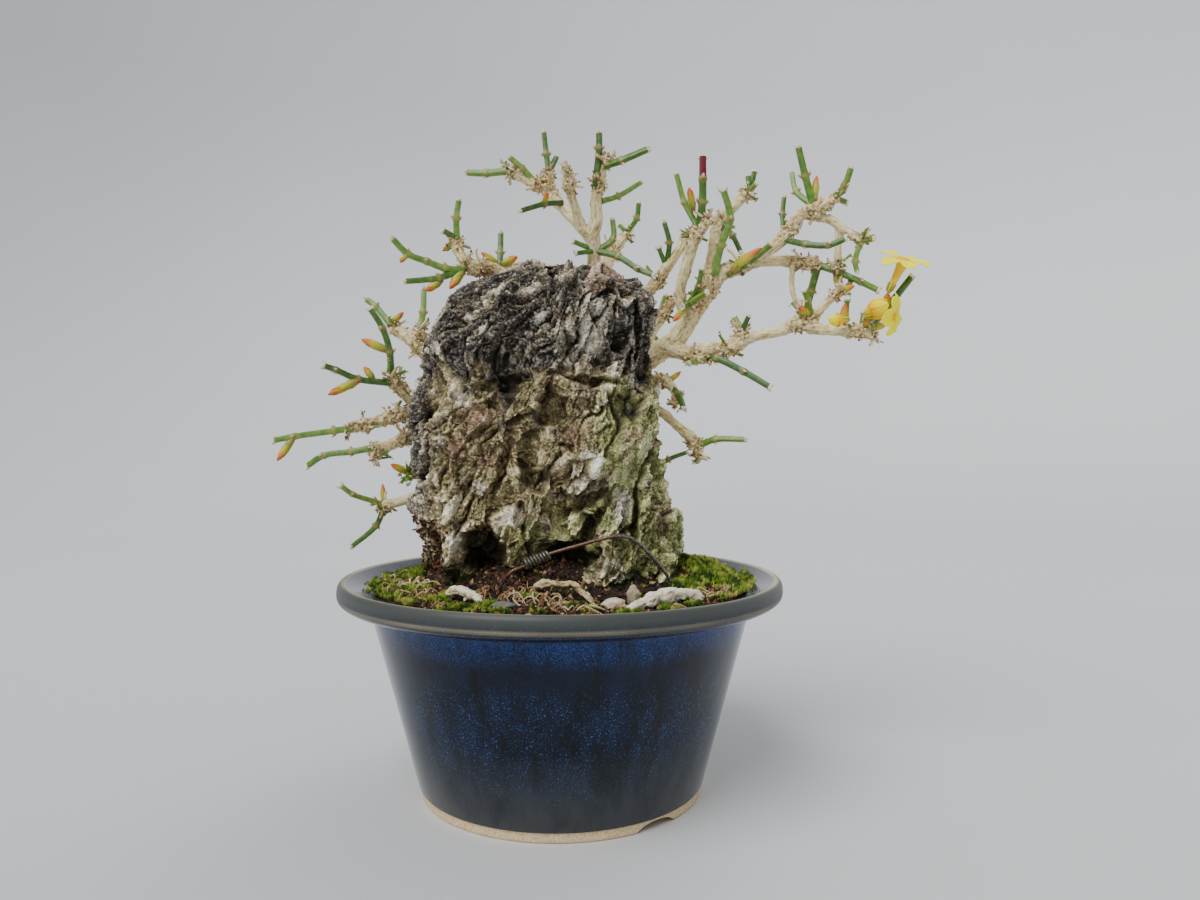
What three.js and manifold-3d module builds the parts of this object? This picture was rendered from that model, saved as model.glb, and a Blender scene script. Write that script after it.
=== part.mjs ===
// A winter jasmine bonsai that grows over a tall craggy rock, in its round glazed pot.
// Millimetres, +Z up. The side it is looked at from is -Y, and +X is to the right.
// Everything is laid out round the pot's axis. At the end the whole group is shifted, so
// that the middle of its outer box, at the height of the foot, is the origin.

import * as THREE from 'three';
import { mergeVertices } from 'three/addons/utils/BufferGeometryUtils.js';
import Module from 'manifold-3d';

const wasm = await Module();
wasm.setup();

// Driving dimensions

const SUNK = 0.55;         // how far out of the bark the root of a fan stands, in its radii
const CLEAR = 0.35;        // room between two pieces that touch on the real tree
const TIDY = 0.04;         // edges shorter than this are closed up after cutting

const POT = {
  sides: 48,
  footRadius: 48.2,
  footWidth: 6.5,          // width of the ring that the pot stands on
  footRise: 3.2,           // height of the unglazed band
  underside: 4.6,          // height of the recessed underside
  floor: 10,               // height of the floor inside
  wall: 5,
  bodyRadius: 65,          // outside radius just under the lip
  bodyTop: 64,
  lipUnder: 5.5,           // how far the underside of the lip runs out flat
  lipRadius: 75.8,
  lipEdge: 2.6,            // how far over the body's top the lip's side starts
  lipShoulder: 4.6,        // how far under the pot's height it ends
  ridgeRadius: 74.3,
  ridgeWidth: 1.6,
  height: 73.2,
  throat: 5.5,             // how far over the body's top the wall turns out into the lip
  cornerWidth: 2.5,        // the slope between the floor and the wall inside
  cornerRise: 4,
  drainRadius: 10,
  notchWidth: 15,
  notchRise: 2.6,
  notchSides: 14,
  notchTurns: [-50, 70, 190],
};

const NET = { side: 33, thickness: 1, holes: 4, bar: 2 };

const STAPLE = { gauge: 1.1, bend: 1.2, foot: 9 };

const SOIL = {
  sides: 36,
  edge: 69.5,              // height of the soil at the wall
  mound: 11.5,             // how much higher it is round the rock
  moundAt: [-4, 4],
  moundSpread: [48, 33],
  dip: 3.2,                // scoop in front of the rock's foot
  dipAt: [20, -38],
  dipSpread: 13,
  cushion: 4.5,            // moss cushion to the right of the rock
  cushionAt: [50, 4],
  cushionSpread: 12,
  bump: 1.6,               // unevenness of the top, and how wide its bumps are
  bumpSize: 9,
  rings: [0.92, 0.79, 0.65, 0.5, 0.3],
  edgeHold: 6,             // how sharply the top comes down to the edge
};

const ROCK = {
  columns: 38,
  rows: 26,
  squareness: 2.6,
  slant: 24,               // lean of the strata to the right, in degrees
  lumps: 5,                // height of the roughness, and its size across, along and through the strata
  lumpSize: 24,
  slabs: 6,
  slabSize: [9, 30, 12],
  chips: 4,
  chipSize: [5, 8, 5],
  frontDepth: 12,          // the forms of the front come in over this depth
  crowding: 0.2,           // how much closer the columns stand at the front, in radians
  crownGap: 2.5,           // how far short of the middle of the top the last ring stops
  crown: 0.6,
};

const WOOD = { thick: 6, thin: 2.6, nose: 0.8 };

const SHOOT = { square: 1.2, joint: 1.3, heart: 1.35, heartPoint: 1.25, seatStep: 0.2 };

const WIRE = { gauge: 1.2, coilRadius: 1.7, coilTurns: 6, coilGroove: 0.45, coilSides: 7 };

const COROLLA = {
  radius: 9,
  tube: 13,
  lobes: 6,
  thickness: 0.8,
  foot: 0.9,               // radius of the tube at its foot and under its mouth
  neck: 1.4,
  flare: 0.22,             // how far the lobes rise, as a share of their reach
  closedTube: 0.6,         // a closed flower's tube and reach, as shares of an open one's
  closedReach: 0.45,
  between: 0.42,           // reach between two lobes, as a share of a lobe's
};

const STONE = { ball: 1.1, least: 0.86, dent: 0.28, dentSize: 1.7 };

// Colours, roughness and metalness

function finish(color, roughness, metalness = 0) {
  return { color, roughness, metalness };
}

const GLAZE = finish('#121f3d', 0.15);
const PLASTIC_NET = finish('#20232a', 0.6);
const COPPER_WIRE = finish('#7a5a45', 0.4, 1);
const POTTING_SOIL = finish('#2e2117', 0.95);
const ROCK_FACE = finish('#5a5747', 0.92);
const PALE_BARK = finish('#b9a685', 0.85);
const GREEN_STEM = finish('#5f7a34', 0.55);
const PETAL = finish('#f6c80f', 0.5);
const ROOT_BARK = finish('#d9cba4', 0.8);
const PEBBLE = finish('#b5a98c', 0.8);

// Small numbers that look random but are the same every time

function hash(x, y, z) {
  let n = Math.imul(x, 374761393) ^ Math.imul(y, 668265263) ^ Math.imul(z, 2147483647);
  n = Math.imul(n ^ (n >>> 13), 1274126177);
  return ((n ^ (n >>> 16)) >>> 0) / 4294967296;
}

function fade(t) {
  return t * t * (3 - 2 * t);
}

function mix(a, b, t) {
  return a + (b - a) * t;
}

// Smooth value noise from 0 to 1
function noise(x, y, z) {
  const [i, j, k] = [Math.floor(x), Math.floor(y), Math.floor(z)];
  const [u, v, w] = [fade(x - i), fade(y - j), fade(z - k)];
  const edge = (b, c) => mix(hash(i, j + b, k + c), hash(i + 1, j + b, k + c), u);
  return mix(mix(edge(0, 0), edge(1, 0), v), mix(edge(0, 1), edge(1, 1), v), w);
}

function ridge(value) {
  return 1 - Math.abs(2 * value - 1);
}

function bell(distance) {
  return Math.exp(-distance * distance);
}

// Meshes, solids and parts

function shaped(geometry, move) {
  const at = geometry.attributes.position;
  const point = new THREE.Vector3();
  for (let i = 0; i < at.count; i += 1) {
    point.fromBufferAttribute(at, i);
    move(point);
    at.setXYZ(i, point.x, point.y, point.z);
  }
  return geometry;
}

function closed(geometry) {
  const bare = geometry.clone();
  bare.deleteAttribute('normal');
  bare.deleteAttribute('uv');
  return mergeVertices(bare, 1e-3);
}

function solidOf(geometry) {
  const merged = closed(geometry);
  return new wasm.Manifold(new wasm.Mesh({
    numProp: 3,
    vertProperties: new Float32Array(merged.attributes.position.array),
    triVerts: new Uint32Array(merged.index.array),
  }));
}

function join(solids) {
  return solids.reduce((whole, next) => whole.add(next));
}

// The largest connected piece of a solid: loose scraps are dropped
function oneBody(solid) {
  const bodies = solidOf(geometryOf(solid.simplify(TIDY))).decompose();
  return bodies.reduce((best, next) => (next.volume() > best.volume() ? next : best));
}

function geometryOf(solid) {
  const mesh = solid.getMesh();
  const geometry = new THREE.BufferGeometry();
  geometry.setAttribute('position', new THREE.BufferAttribute(mesh.vertProperties, 3));
  geometry.setIndex(new THREE.BufferAttribute(mesh.triVerts, 1));
  return geometry;
}

const bonsai = new THREE.Group();

function part(name, shape, look) {
  const geometry = shape instanceof THREE.BufferGeometry ? closed(shape) : geometryOf(shape);
  geometry.computeVertexNormals();
  const mesh = new THREE.Mesh(geometry, new THREE.MeshStandardMaterial(look));
  mesh.name = name;
  bonsai.add(mesh);
  return mesh;
}

// A limb is a cylinder laid along a curve, with a radius at each of its points.
// Each point is [x, y, z, radius]. The nose is how far its ends bulge, in radii.
function limb(points, { sides = 6, steps = 2, grow = 0, square = 1, nose = 0 } = {}) {
  const places = points.map(([x, y, z]) => new THREE.Vector3(x, y, z));
  const radii = points.map((point) => point[3]);
  const curve = new THREE.CatmullRomCurve3(places, false, 'centripetal');
  const spans = points.length - 1;
  const rings = spans * steps;
  const frames = curve.computeFrenetFrames(rings, false);
  const stem = new THREE.CylinderGeometry(1, 1, 1, sides, rings);
  return shaped(stem, (point) => {
    const ring = Math.round((point.y + 0.5) * rings);
    const t = ring / rings;
    const span = Math.min(Math.floor(t * spans), spans - 1);
    const radius = mix(radii[span], radii[span + 1], t * spans - span) + grow;
    const centre = curve.getPoint(t);
    const out = new THREE.Vector3()
      .addScaledVector(frames.normals[ring], point.x * radius * square)
      .addScaledVector(frames.binormals[ring], -point.z * radius * square);
    if (ring === 0 || ring === rings) {
      const onAxis = Math.hypot(point.x, point.z) < 0.5;
      const past = onAxis ? grow + nose * radius : grow;
      out.addScaledVector(curve.getTangent(t), ring === 0 ? -past : past);
    }
    point.copy(centre.add(out));
  });
}

// The pot: a closed outline turned round the axis, which leaves the drainage hole

function innerRadius(z) {
  const slope = (POT.bodyRadius - POT.footRadius) / (POT.bodyTop - POT.footRise);
  return POT.footRadius + (z - POT.footRise) * slope - POT.wall;
}

function makePot() {
  const lipStart = POT.bodyTop + POT.throat;
  const outline = [
    [POT.footRadius - POT.footWidth, 0],
    [POT.footRadius, 0],
    [POT.footRadius + 0.3, POT.footRise],
    [POT.bodyRadius, POT.bodyTop],
    [POT.bodyRadius + POT.lipUnder, POT.bodyTop + 0.6],
    [POT.lipRadius - 1, POT.bodyTop + POT.lipEdge],
    [POT.lipRadius, POT.height - POT.lipShoulder],
    [POT.lipRadius - 0.3, POT.height - 1.4],
    [POT.ridgeRadius, POT.height],
    [POT.ridgeRadius - POT.ridgeWidth, POT.height - 0.5],
    [innerRadius(lipStart) + 2.6, lipStart + 0.6],
    [innerRadius(POT.bodyTop) + 0.4, POT.bodyTop],
    [innerRadius(POT.floor + POT.cornerRise), POT.floor + POT.cornerRise],
    [innerRadius(POT.floor) - POT.cornerWidth, POT.floor],
    [POT.drainRadius, POT.floor],
    [POT.drainRadius, POT.underside],
    [POT.footRadius - POT.footWidth - 1.5, POT.underside],
  ];
  const ring = [...outline, outline[0]].map(([r, z]) => new THREE.Vector2(r, z));
  const turned = new THREE.LatheGeometry(ring, POT.sides).rotateX(Math.PI / 2);
  let pot = solidOf(turned);
  for (const turn of POT.notchTurns) {
    const bore = new THREE.CylinderGeometry(1, 1, 2 * POT.footWidth + 8, POT.notchSides);
    bore.rotateZ(Math.PI / 2).scale(1, POT.notchWidth / 2, POT.notchRise);
    bore.translate(POT.footRadius, 0, 0).rotateZ(THREE.MathUtils.degToRad(turn));
    pot = pot.subtract(solidOf(bore));
  }
  return oneBody(pot);
}

// The net over the drainage hole and the bent wire that holds it

function makeNet() {
  const pitch = (NET.side - NET.bar) / NET.holes;
  const first = -NET.side / 2 + NET.bar / 2 + pitch / 2;
  let net = solidOf(new THREE.BoxGeometry(NET.side, NET.side, NET.thickness));
  for (let i = 0; i < NET.holes; i += 1) {
    for (let j = 0; j < NET.holes; j += 1) {
      const hole = new THREE.BoxGeometry(pitch - NET.bar, pitch - NET.bar, 3 * NET.thickness);
      hole.translate(first + i * pitch, first + j * pitch, 0);
      net = net.subtract(solidOf(hole));
    }
  }
  return net.translate(0, 0, POT.floor + CLEAR + NET.thickness / 2);
}

function makeStaple() {
  const r = STAPLE.gauge / 2;
  const leg = (NET.side - NET.bar) / NET.holes / 2;
  const top = POT.floor + CLEAR + NET.thickness + CLEAR + r;
  const under = POT.underside - CLEAR - r;
  const bend = STAPLE.bend;
  const half = [
    [leg - bend, top], [leg, top - bend], [leg, under + bend], [leg + bend, under],
    [leg + STAPLE.foot, under],
  ];
  const bent = [...half.map(([x, z]) => [-x, z]).reverse(), ...half];
  return limb(bent.map(([x, z]) => [x, leg, z, r]), { sides: 6, steps: 1 });
}

// The rock: a squarish column whose outline changes with height, roughened along its normal.
// Each level is [station, height, left, right, front, back]. The station is the height on the
// side of the rock, and goes on across the top.

const rockLevels = [
  [54, 54, -38, 34, -17, 23],
  [70, 70, -45, 42, -21, 27],
  [78, 78, -50, 42, -24, 28],
  [90, 90, -50, 39, -25, 28],
  [100, 100, -50, 34, -25, 28],
  [115, 115, -51, 32, -25, 27],
  [130, 130, -50, 31, -25, 26],
  [143, 143, -48, 31, -25, 25],
  [155, 155, -47, 31, -24, 23],
  [164, 164, -43, 29, -22, 21],
  [171, 171, -35, 25, -18, 18],
  [177, 175.5, -26, 21, -13, 15],
  [184, 178, -17, 17, -8, 11],
  [192, 179.6, -7, 11, -3, 6],
  [198, 180.2, 2, 2, 1, 1],
];

// Forms of the front face: where it swells and where it falls back.
// Each is [x, z, half width, half height, turn in degrees, rise].
const rockForms = [
  [2, 165, 24, 8, 12, 3.2],
  [-30, 160, 10, 8, 40, 1.5],
  [-8, 147, 30, 4, 10, -3.2],
  [16, 146, 9, 5, 0, -2.5],
  [23, 152, 2.6, 26, 6, -4],
  [29, 128, 4, 34, 4, 2.4],
  [-26, 128, 11, 13, 0, 1.4],
  [-10, 120, 3, 22, -24, -3],
  [8, 112, 15, 5, 32, 3.6],
  [9, 102, 14, 4, 32, -3.2],
  [-36, 100, 6, 11, -20, 2.2],
  [-33, 85, 4.5, 10, 0, 3.6],
  [-22, 86, 4.5, 10, -10, -9],
  [-13, 90, 7, 13, -8, 3.4],
  [1, 79, 10, 7, 0, -9],
  [18, 76, 6.5, 13, 0, 3],
  [28, 78, 3, 10, 0, -3],
  [-45, 82, 6, 8, 0, -3],
];

function levelAt(station) {
  let row = 0;
  while (row < rockLevels.length - 2 && station > rockLevels[row + 1][0]) {
    row += 1;
  }
  const [low, high] = [rockLevels[row], rockLevels[row + 1]];
  const t = THREE.MathUtils.clamp((station - low[0]) / (high[0] - low[0]), 0, 1);
  return low.map((value, i) => mix(value, high[i], t));
}

function bluntPower(value) {
  return Math.sign(value) * Math.abs(value) ** (2 / ROCK.squareness);
}

function rockBase(angle, station) {
  const [, z, left, right, front, back] = levelAt(station);
  const x = (left + right) / 2 + ((right - left) / 2) * bluntPower(Math.cos(angle));
  const y = (front + back) / 2 + ((back - front) / 2) * bluntPower(Math.sin(angle));
  return new THREE.Vector3(x, y, z);
}

function rockNormal(angle, station) {
  const [turn, climb] = [0.06, 2];
  const round = rockBase(angle + turn, station).sub(rockBase(angle - turn, station));
  const up = rockBase(angle, station + climb).sub(rockBase(angle, station - climb));
  const normal = round.cross(up);
  return normal.lengthSq() > 0 ? normal.normalize() : new THREE.Vector3(0, 0, 1);
}

function cragRise(place) {
  const slant = THREE.MathUtils.degToRad(ROCK.slant);
  const across = place.x * Math.cos(slant) - place.z * Math.sin(slant);
  const along = place.x * Math.sin(slant) + place.z * Math.cos(slant);
  const strata = ([width, length, depth]) => noise(across / width, along / length, place.y / depth);
  const wide = ROCK.lumpSize;
  let rise = ROCK.lumps * (noise(place.x / wide, place.y / wide, place.z / wide) - 0.5);
  rise += ROCK.slabs * (ridge(strata(ROCK.slabSize)) - 0.5);
  rise += ROCK.chips * (strata(ROCK.chipSize) - 0.5);
  const facing = THREE.MathUtils.clamp(-place.y / ROCK.frontDepth, 0, 1);
  for (const [x, z, width, height, turn, up] of rockForms) {
    const a = THREE.MathUtils.degToRad(turn);
    const [dx, dz] = [place.x - x, place.z - z];
    const u = (dx * Math.cos(a) + dz * Math.sin(a)) / width;
    const v = (dz * Math.cos(a) - dx * Math.sin(a)) / height;
    rise += up * facing * bell(Math.hypot(u, v));
  }
  return rise;
}

function onRock(angle, station, off = 0) {
  const place = rockBase(angle, station);
  const rise = cragRise(place);
  return place.addScaledVector(rockNormal(angle, station), rise + off);
}

function makeRock(grow = 0) {
  const [start, end] = [rockLevels[0][0], rockLevels.at(-1)[0]];
  const column = new THREE.CylinderGeometry(1, 1, 1, ROCK.columns, ROCK.rows);
  return shaped(column, (point) => {
    const t = Math.round((point.y + 0.5) * ROCK.rows) / ROCK.rows;
    const onAxis = Math.hypot(point.x, point.z) < 0.5;
    if (onAxis) {
      const [, z, left, right, front, back] = levelAt(t > 0.5 ? end : start);
      const height = t > 0.5 ? z + grow + ROCK.crown : z - grow;
      point.set((left + right) / 2, (front + back) / 2, height);
      return;
    }
    const turn = Math.atan2(-point.z, point.x);
    const angle = turn - ROCK.crowding * Math.cos(turn);
    const station = mix(start, end - ROCK.crownGap, t);
    point.copy(onRock(angle, station, grow));
    if (t === 0) {
      point.z = start - grow;
    }
  });
}

// The soil: its top is a mound that falls to the wall

function soilTop(x, y) {
  const mound = bell(Math.hypot((x - SOIL.moundAt[0]) / SOIL.moundSpread[0],
    (y - SOIL.moundAt[1]) / SOIL.moundSpread[1]));
  const dip = bell(Math.hypot(x - SOIL.dipAt[0], y - SOIL.dipAt[1]) / SOIL.dipSpread);
  const cushion = bell(Math.hypot(x - SOIL.cushionAt[0], y - SOIL.cushionAt[1]) / SOIL.cushionSpread);
  const rough = noise(x / SOIL.bumpSize + 40, y / SOIL.bumpSize, 3) - 0.5;
  return SOIL.edge + SOIL.mound * mound - SOIL.dip * dip + SOIL.cushion * cushion + SOIL.bump * rough;
}

function makeSoil() {
  const pocket = NET.side * Math.SQRT1_2 + 1;
  const pocketTop = POT.floor + 2 * CLEAR + NET.thickness + STAPLE.gauge + CLEAR;
  const flare = 2;
  const edgeRadius = innerRadius(SOIL.edge) + flare - CLEAR;
  const outline = [
    [0, pocketTop],
    [pocket, pocketTop],
    [pocket, POT.floor + CLEAR],
    [innerRadius(POT.floor) - POT.cornerWidth - CLEAR, POT.floor + CLEAR],
    [innerRadius(POT.floor + POT.cornerRise) - CLEAR, POT.floor + POT.cornerRise],
    [innerRadius(POT.bodyTop) + 0.3 - CLEAR, POT.bodyTop],
    [edgeRadius, SOIL.edge],
  ];
  for (const share of SOIL.rings) {
    outline.push([edgeRadius * share, SOIL.edge]);
  }
  outline.push([0, SOIL.edge]);
  const profile = outline.map(([r, z]) => new THREE.Vector2(r, z));
  const turned = new THREE.LatheGeometry(profile, SOIL.sides).rotateX(Math.PI / 2);
  return shaped(turned, (point) => {
    if (point.z > SOIL.edge - 0.01) {
      const inside = 1 - (Math.hypot(point.x, point.y) / edgeRadius) ** SOIL.edgeHold;
      point.z = mix(SOIL.edge, soilTop(point.x, point.y), Math.max(inside, 0));
    }
  });
}

// The jasmine's wood. Points are [x, y, z, radius].

const trunk = [
  [6, 41, 58, 8.5], [5, 40, 74, 8], [1, 37, 92, 7], [4, 35.5, 112, 6.6], [9, 34, 130, 6.2],
  [10, 32, 148, 5], [10, 28, 166, 4.2], [11, 23, 184, 3.2], [11, 20, 192, 3], [10, 18, 198, 3.6],
];

const limbs = [
  // right limb of the crown, left limb and its arms
  [[10, 18, 196, 3], [12, 17, 200, 2.8], [12, 15, 208, 2.4], [13, 14, 213, 2.9], [14, 13, 218, 2],
    [16, 12, 221, 2.3]],
  [[11, 20, 194, 3], [6, 19, 199, 2.6], [0, 22, 206, 2.4], [-6, 25, 214, 3], [-6, 26, 220, 2.2]],
  [[-5, 25, 214, 2.2], [-10, 26, 216, 2.4], [-16, 27, 219, 2], [-21, 28, 222, 2.6]],
  [[6, 18, 200, 2.2], [3, 12, 208, 1.9], [2, 9, 212, 2.6], [2, 8, 215, 1.8]],
  // the limb that lies over the top left of the rock
  [[11, 27, 172, 3], [0, 25, 181, 2.8], [-13, 19, 184, 2.8], [-23, 13, 181, 3.2], [-29, 8, 181, 3.4],
    [-34, 6, 181, 3]],
  [[-34, 7, 181, 2.4], [-37, 8, 187, 2.2], [-38, 9, 191, 2.7]],
  // left side, from the top down
  [[9, 34, 130, 4.4], [-12, 34, 134, 4], [-32, 29, 137, 3.6], [-46, 21, 136, 3.6], [-53, 14, 131, 3.6],
    [-57, 11, 129, 3.4]],
  [[-32, 29, 137, 3], [-46, 24, 147, 2.8], [-53, 18, 154, 3.2], [-58, 19, 158, 2.6], [-64, 22, 162, 3]],
  [[-53, 18, 154, 2.2], [-53, 17, 160, 2.6]],
  [[-53, 14, 131, 2.8], [-56, 10, 136, 2.6], [-59, 7, 139, 2.9], [-61, 5, 142, 2.7]],
  [[-55, 12, 130, 2.6], [-61, 7, 128, 3.1], [-66, 4, 126, 2.3], [-70, 3, 125, 2.8], [-74, 1, 124, 2]],
  [[-51, 17, 130, 2.8], [-58, 17, 121, 3.2], [-65, 18, 118, 2.4], [-70, 19, 117, 2.7]],
  [[-64, 18, 118, 1.8], [-70, 19, 113, 1.7]],
  [[2, 37, 92, 4], [-20, 35, 96, 3.4], [-40, 27, 99, 2.8], [-54, 18, 99, 2.2], [-61, 18, 97, 2.1],
    [-67, 20, 95, 3]],
  [[-40, 27, 99, 2.2], [-51, 17, 106, 1.8], [-56, 10, 108, 2.4]],
  // the large right limb, the one that rises from it and its arms
  [[9, 34, 132, 5.4], [22, 34, 144, 5], [34, 29, 152, 4.6], [42, 23, 158, 4.4], [48, 20, 167, 4],
    [53, 18, 175, 4.2], [58, 16, 181, 3.4], [65, 12, 183, 3.6], [75, 8, 189, 2.8], [81, 6, 194, 3],
    [84, 4, 199, 2.6], [89, 2, 201, 3.2], [95, 0, 204, 1.9]],
  [[64, 12, 183, 2.8], [72, 14, 185, 2.6], [80, 14, 185, 2.4], [87, 12, 184, 2.9], [91, 11, 183, 2.4]],
  [[86, 3, 199, 2], [94, 2, 197, 1.9], [100, 0, 192, 1.8], [104, -1, 189, 2.1]],
  [[97, 2, 194, 1.5], [97, 3, 186, 1.5], [97, 4, 181, 1.6]],
  [[83, 12, 184, 1.3], [83, 12, 174, 1.2], [86, 12, 166, 1.1]],
  // three upright limbs between the rock and the rising limb
  [[22, 34, 144, 3], [27, 30, 158, 2.8], [29, 26, 172, 2.6], [35, 24, 180, 2.8], [41, 22, 188, 2],
    [47, 22, 197, 2.3]],
  [[46, 21, 163, 3], [43, 19, 174, 2.4], [45, 15, 184, 2.5], [48, 12, 194, 2.9], [52, 10, 199, 2.2]],
  [[53, 18, 175, 3], [55, 19, 188, 2.6], [58, 22, 201, 2.9], [64, 24, 208, 2.3], [69, 25, 213, 2.8]],
  // the long branch at the right and its knuckles
  [[38, 26, 155, 4], [47, 18, 152, 3.4], [53, 16, 153, 3], [60, 14, 153, 3.4], [68, 12, 157, 2.4],
    [78, 8, 159, 2.4], [84, 6, 161, 2.9], [90, 4, 159, 2.3], [98, 3, 158.5, 2.5], [104, 2, 158, 2.8],
    [109, 2, 156.5, 1.9]],
  [[62, 14, 155, 2], [65, 12, 159, 2.1]],
  [[84, 6, 161, 2], [88, 6, 162, 2.6], [92, 4, 167, 1.8], [96, 2, 171, 2], [98, 1, 172, 1.5]],
  // short knuckled wood close to the right of the rock
  [[28, 32, 150, 2.6], [33, 28, 161, 2.4], [38, 26, 168, 2.7], [41, 24, 173, 1.9]],
  [[44, 22, 164, 2.4], [49, 17, 171, 2.8], [53, 14, 174, 2]],
  [[40, 24, 155, 2.6], [47, 15, 150, 2.7], [52, 10, 149, 2]],
  [[20, 34, 140, 3], [30, 29, 142, 2.5], [37, 23, 142, 2.7], [41, 19, 138, 2], [42, 19, 133, 2.1]],
  [[5, 36, 118, 4], [20, 34, 128, 3.2], [35, 26, 131, 2.4], [42, 20, 125, 2], [49, 16, 118, 2.8],
    [49, 15, 114, 1.7]],
  // the back of the tree
  [[2, 37, 104, 3.6], [-4, 45, 114, 3], [-9, 54, 124, 3.2], [-16, 60, 130, 2.2], [-22, 62, 137, 2.5]],
  [[10, 33, 138, 3.6], [14, 42, 148, 3], [19, 51, 156, 3.2], [27, 57, 163, 2.4], [32, 60, 166, 2.4]],
  [[11, 26, 172, 2.6], [15, 35, 184, 2.4], [18, 42, 194, 2.8], [24, 46, 202, 1.9]],
  [[5, 38, 84, 3.2], [16, 44, 92, 2.6], [26, 47, 99, 2.9], [34, 48, 107, 2]],
];

// Roots that hold the back of the rock: [angle on the rock in degrees, height, radius]
const grippingRoots = [
  [[84, 104, 5], [66, 96, 3.8], [50, 87, 3.2], [42, 77, 2.8], [38, 66, 1.8]],
  [[92, 100, 5], [112, 92, 3.8], [128, 84, 3.2], [138, 76, 2.8], [142, 66, 1.8]],
  [[88, 122, 4.6], [112, 112, 3], [136, 102, 2.6], [152, 90, 2.4], [160, 78, 2.2], [164, 66, 1.6]],
  [[80, 128, 4.4], [58, 118, 2.8], [40, 106, 2.4], [26, 92, 2.2], [20, 79, 2], [18, 67, 1.5]],
];

function gripPath(root) {
  return root.map(([degrees, station, radius]) => {
    const place = onRock(THREE.MathUtils.degToRad(degrees), station, radius * 0.8);
    return [place.x, place.y, place.z, radius];
  });
}

const woodPaths = [trunk, ...limbs, ...grippingRoots.map(gripPath)];

// A thicker limb has more sides
function sidesOf(path) {
  const radius = path[0][3];
  if (radius > WOOD.thick) {
    return 8;
  }
  return radius > WOOD.thin ? 6 : 5;
}

function makeGrowth(grow = 0) {
  const pieces = woodPaths.map((path) => {
    const sides = sidesOf(path);
    return solidOf(limb(path, { sides, steps: 1, grow, nose: WOOD.nose }));
  });
  return join(pieces);
}

// How far a point is from the surface of the wood, and the point of its axis next to it
function nearestWood(point) {
  let best = { gap: Infinity };
  for (const path of woodPaths) {
    for (let i = 1; i < path.length; i += 1) {
      const [a, b] = [path[i - 1], path[i]];
      const line = new THREE.Line3(new THREE.Vector3(...a), new THREE.Vector3(...b));
      const t = line.closestPointToPointParameter(point, true);
      const axis = line.at(t, new THREE.Vector3());
      const gap = axis.distanceTo(point) - mix(a[3], b[3], t);
      if (gap < best.gap) {
        best = { gap, axis };
      }
    }
  }
  return best;
}

// The green growth. Each fan springs from one root on the wood. A shoot is a list of the
// points it passes after that root, with a slight swelling at every joint. A bud is pointed,
// and starts at the fan's root or at a joint of a shoot.

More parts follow.
